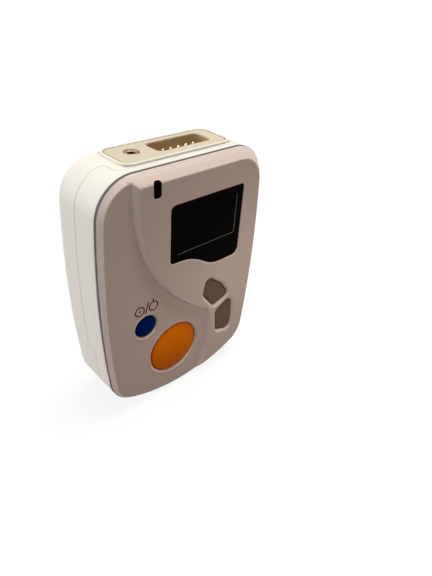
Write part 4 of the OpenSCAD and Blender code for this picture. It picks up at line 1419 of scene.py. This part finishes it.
def make_floor():
    """Floor that looks white, keeps a faint shadow and throws little light back."""
    mesh = bpy.data.meshes.new("floor")
    turns = ((-1, -1), (1, -1), (1, 1), (-1, 1))
    corners = [(x * FLOOR_HALF, y * FLOOR_HALF, 0) for x, y in turns]
    mesh.from_pydata(corners, [], [[0, 1, 2, 3]])
    floor = bpy.data.objects.new("floor", mesh)
    bpy.context.scene.collection.objects.link(floor)
    material, shader = new_material("pale_floor")
    tree = material.node_tree
    grain = add_node(tree, "TexNoise", {"Vector": add_node(tree, "TexCoord").outputs["Object"]},
                     Scale=40.0)
    tone = mix_colour(tree, grain.outputs[0], *FLOOR_TONES)
    tree.links.new(tone, shader.inputs["Base Color"])
    shader.inputs["Roughness"].default_value = 0.9
    shader.inputs["Specular IOR Level"].default_value = 0.0
    away = add_node(tree, "VectorMath", {"Vector": add_node(tree, "TexCoord").outputs["Object"]},
                    operation="LENGTH").outputs["Value"]
    level = add_node(tree, "MapRange", {"Value": away}, From_Min=0.1, From_Max=0.6, To_Min=0.86,
                     To_Max=1.0)
    glow = add_node(tree, "Emission",
                    {"Strength": math_node(tree, "MULTIPLY", seen_directly(tree),
                                           level.outputs[0])}, Color=(1, 1, 1, 1))
    both = tree.nodes.new("ShaderNodeAddShader")
    tree.links.new(shader.outputs[0], both.inputs[0])
    tree.links.new(glow.outputs[0], both.inputs[1])
    tree.links.new(both.outputs[0], tree.nodes["Material Output"].inputs["Surface"])
    mesh.materials.append(material)


def make_world(stage):
    """Even, slightly warm light, white where the camera or a reflection sees it."""
    world = bpy.data.worlds.new("studio")
    world.use_nodes = True
    bpy.context.scene.world = world
    tree = world.node_tree
    tree.nodes.clear()
    light = add_node(tree, "Background", Color=(*stage.ambient_tint, 1.0), Strength=stage.ambient)
    white = add_node(tree, "Background", Color=(1, 1, 1, 1), Strength=1.0)
    mix = tree.nodes.new("ShaderNodeMixShader")
    tree.links.new(seen_directly(tree), mix.inputs[0])
    tree.links.new(light.outputs[0], mix.inputs[1])
    tree.links.new(white.outputs[0], mix.inputs[2])
    tree.links.new(mix.outputs[0], tree.nodes.new("ShaderNodeOutputWorld").inputs["Surface"])


# -------------------------------------------------------------------------------------- operators

def settings(context):
    """Sizes in millimetres, colours and the outline."""
    scene = context.scene
    case, front = sizes(scene.recorder_case), sizes(scene.recorder_front)
    return case, front, scene.recorder_colours, Outline(case)


class RECORDER_OT_cover(bpy.types.Operator):
    """Builds the front cover with its two levels, chamfer and button wells"""
    bl_idname = "recorder.cover"
    bl_label = "Front cover"

    def execute(self, context):
        case, front, colours, outline = settings(context)
        make_cover(outline, case, front, cover_finish(colours), seal_finish())
        return {"FINISHED"}


class RECORDER_OT_sides(bpy.types.Operator):
    """Builds the middle frame, the rear shell and the rim round the connector"""
    bl_idname = "recorder.sides"
    bl_label = "Case sides and back"

    def execute(self, context):
        case, _, colours, outline = settings(context)
        line = parting_line(outline)
        finish = case_finish(colours)
        make_frame(outline, case, finish, line)
        make_rear(outline, case, finish, line)
        return {"FINISHED"}


class RECORDER_OT_door(bpy.types.Operator):
    """Builds the battery door"""
    bl_idname = "recorder.door"
    bl_label = "Battery door"

    def execute(self, context):
        case, _, colours, outline = settings(context)
        make_door(outline, case, case_finish(colours))
        return {"FINISHED"}


class RECORDER_OT_connector(bpy.types.Operator):
    """Builds the connector plate, its pins and the threaded insert"""
    bl_idname = "recorder.connector"
    bl_label = "Connector"

    def execute(self, context):
        # The plate's second finish is painted shade: the darker sheet inside the socket
        make_plate(plate_finish(context.scene.recorder_colours),
                   plastic("socket_painted_shade", (0.47, 0.32, 0.145), roughness=0.6, depth=0.3,
                           specular=0.1))
        # The insert's second finish is near-black: painted shade inside its bore
        make_insert(metal("insert_brass", (0.42, 0.27, 0.16), (0.16, 0.1, 0.07), roughness=0.32,
                          amount=0.5),
                    plastic("bore_painted_shade", (0.03, 0.018, 0.012), roughness=0.5, specular=0.2))
        make_pins(metal("gold_pins", (0.83, 0.66, 0.36), (0.5, 0.36, 0.18), roughness=0.2,
                        amount=0.15))
        return {"FINISHED"}


class RECORDER_OT_display(bpy.types.Operator):
    """Builds the display window, the lamp window and the printed symbol"""
    bl_idname = "recorder.display"
    bl_label = "Display and symbol"

    def execute(self, context):
        _, front, colours, _ = settings(context)
        make_display(colours)
        make_symbol(front, colours)
        return {"FINISHED"}


class RECORDER_OT_buttons(bpy.types.Operator):
    """Builds the event button, the power button and the two keys"""
    bl_idname = "recorder.buttons"
    bl_label = "Buttons"

    def execute(self, context):
        _, front, colours, _ = settings(context)
        low_y = SEAM_Y - front.low_h
        orange = plastic("button_orange", tuple(colours.event), roughness=0.42, mottle=0.06,
                         depth=0.2, marks=0.0, specular=0.01)
        blue = plastic("button_blue", tuple(colours.power), roughness=0.35, mottle=0.08, depth=0.2,
                       marks=0.0, specular=0.005)
        grey = plastic("key_grey", tuple(colours.keys), roughness=0.5, mottle=0.08, depth=0.3,
                       marks=0.02, specular=0.05)
        round_button("event_cap", "event_button", "event_key", EVENT, EVENT_R,
                     orange, low_y + 0.3, span("event_button", Y)[0], 0.7)
        round_button("power_cap", "power_button", "power_key", POWER, POWER_R, blue,
                     low_y + 0.2, span("power_button", Y)[0], 0.3)
        shaped_key("up_cap", "up_button", "up_key", UP_CORNERS, (9.9, 31.8), grey)
        shaped_key("down_cap", "down_button", "down_key", DOWN_CORNERS, (14.9, 19.4), grey)
        return {"FINISHED"}


class RECORDER_OT_battery(bpy.types.Operator):
    """Builds the cell, its spring and its contact"""
    bl_idname = "recorder.battery"
    bl_label = "Battery bay"

    def execute(self, context):
        make_battery()
        return {"FINISHED"}


class RECORDER_OT_fasteners(bpy.types.Operator):
    """Builds the screws"""
    bl_idname = "recorder.fasteners"
    bl_label = "Screws"

    def execute(self, context):
        make_screws()
        return {"FINISHED"}


class RECORDER_OT_inner(bpy.types.Operator):
    """Gives the boards, seals and inner parts their finishes"""
    bl_idname = "recorder.inner"
    bl_label = "Inner parts"

    def execute(self, context):
        dress_inner_parts()
        return {"FINISHED"}


class RECORDER_OT_stage(bpy.types.Operator):
    """Sets up the floor, lamps, world and camera"""
    bl_idname = "recorder.stage"
    bl_label = "Stage"

    def execute(self, context):
        stage = context.scene.recorder_stage
        make_floor()
        make_world(stage)
        add_lamp("top", *TOP_LAMP, stage.top_power, tuple(stage.top_tint))
        add_lamp("side", *SIDE_LAMP, stage.side_power, tuple(stage.side_tint))
        add_lamp("graze", *GRAZE_LAMP, stage.graze_power, GRAZE_TINT)
        add_lamp("fill", *FILL_LAMP, stage.fill_power).visible_glossy = False
        make_camera()
        context.scene.view_settings.view_transform = "Standard"
        return {"FINISHED"}


OPERATORS = (RECORDER_OT_cover, RECORDER_OT_sides, RECORDER_OT_door, RECORDER_OT_connector,
             RECORDER_OT_display, RECORDER_OT_buttons, RECORDER_OT_battery, RECORDER_OT_fasteners,
             RECORDER_OT_inner, RECORDER_OT_stage)
GROUPS = {"recorder_case": RecorderCase, "recorder_front": RecorderFront,
          "recorder_colours": RecorderColours, "recorder_stage": RecorderStage}


class RECORDER_PT_panel(bpy.types.Panel):
    """Lists the building steps and the settings"""
    bl_idname = "RECORDER_PT_panel"
    bl_label = "ECG recorder"
    bl_space_type = "VIEW_3D"
    bl_region_type = "UI"
    bl_category = "ECG recorder"

    def draw(self, context):
        for operator in OPERATORS:
            self.layout.operator(operator.bl_idname)
        for name, group in GROUPS.items():
            box = self.layout.box()
            for key in group.__annotations__:
                box.prop(getattr(context.scene, name), key)


def register():
    """Registers the classes and hangs the settings on the scene."""
    for cls in (*GROUPS.values(), *OPERATORS, RECORDER_PT_panel):
        bpy.utils.register_class(cls)
    for name, group in GROUPS.items():
        setattr(bpy.types.Scene, name, PointerProperty(type=group))


def unregister():
    """Takes the settings off the scene and the classes out again."""
    for name in GROUPS:
        delattr(bpy.types.Scene, name)
    for cls in reversed((*GROUPS.values(), *OPERATORS, RECORDER_PT_panel)):
        bpy.utils.unregister_class(cls)


def main():
    """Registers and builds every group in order."""
    register()
    for operator in OPERATORS:
        family, step = operator.bl_idname.split(".")
        getattr(getattr(bpy.ops, family), step)()


if __name__ == "__main__":
    main()
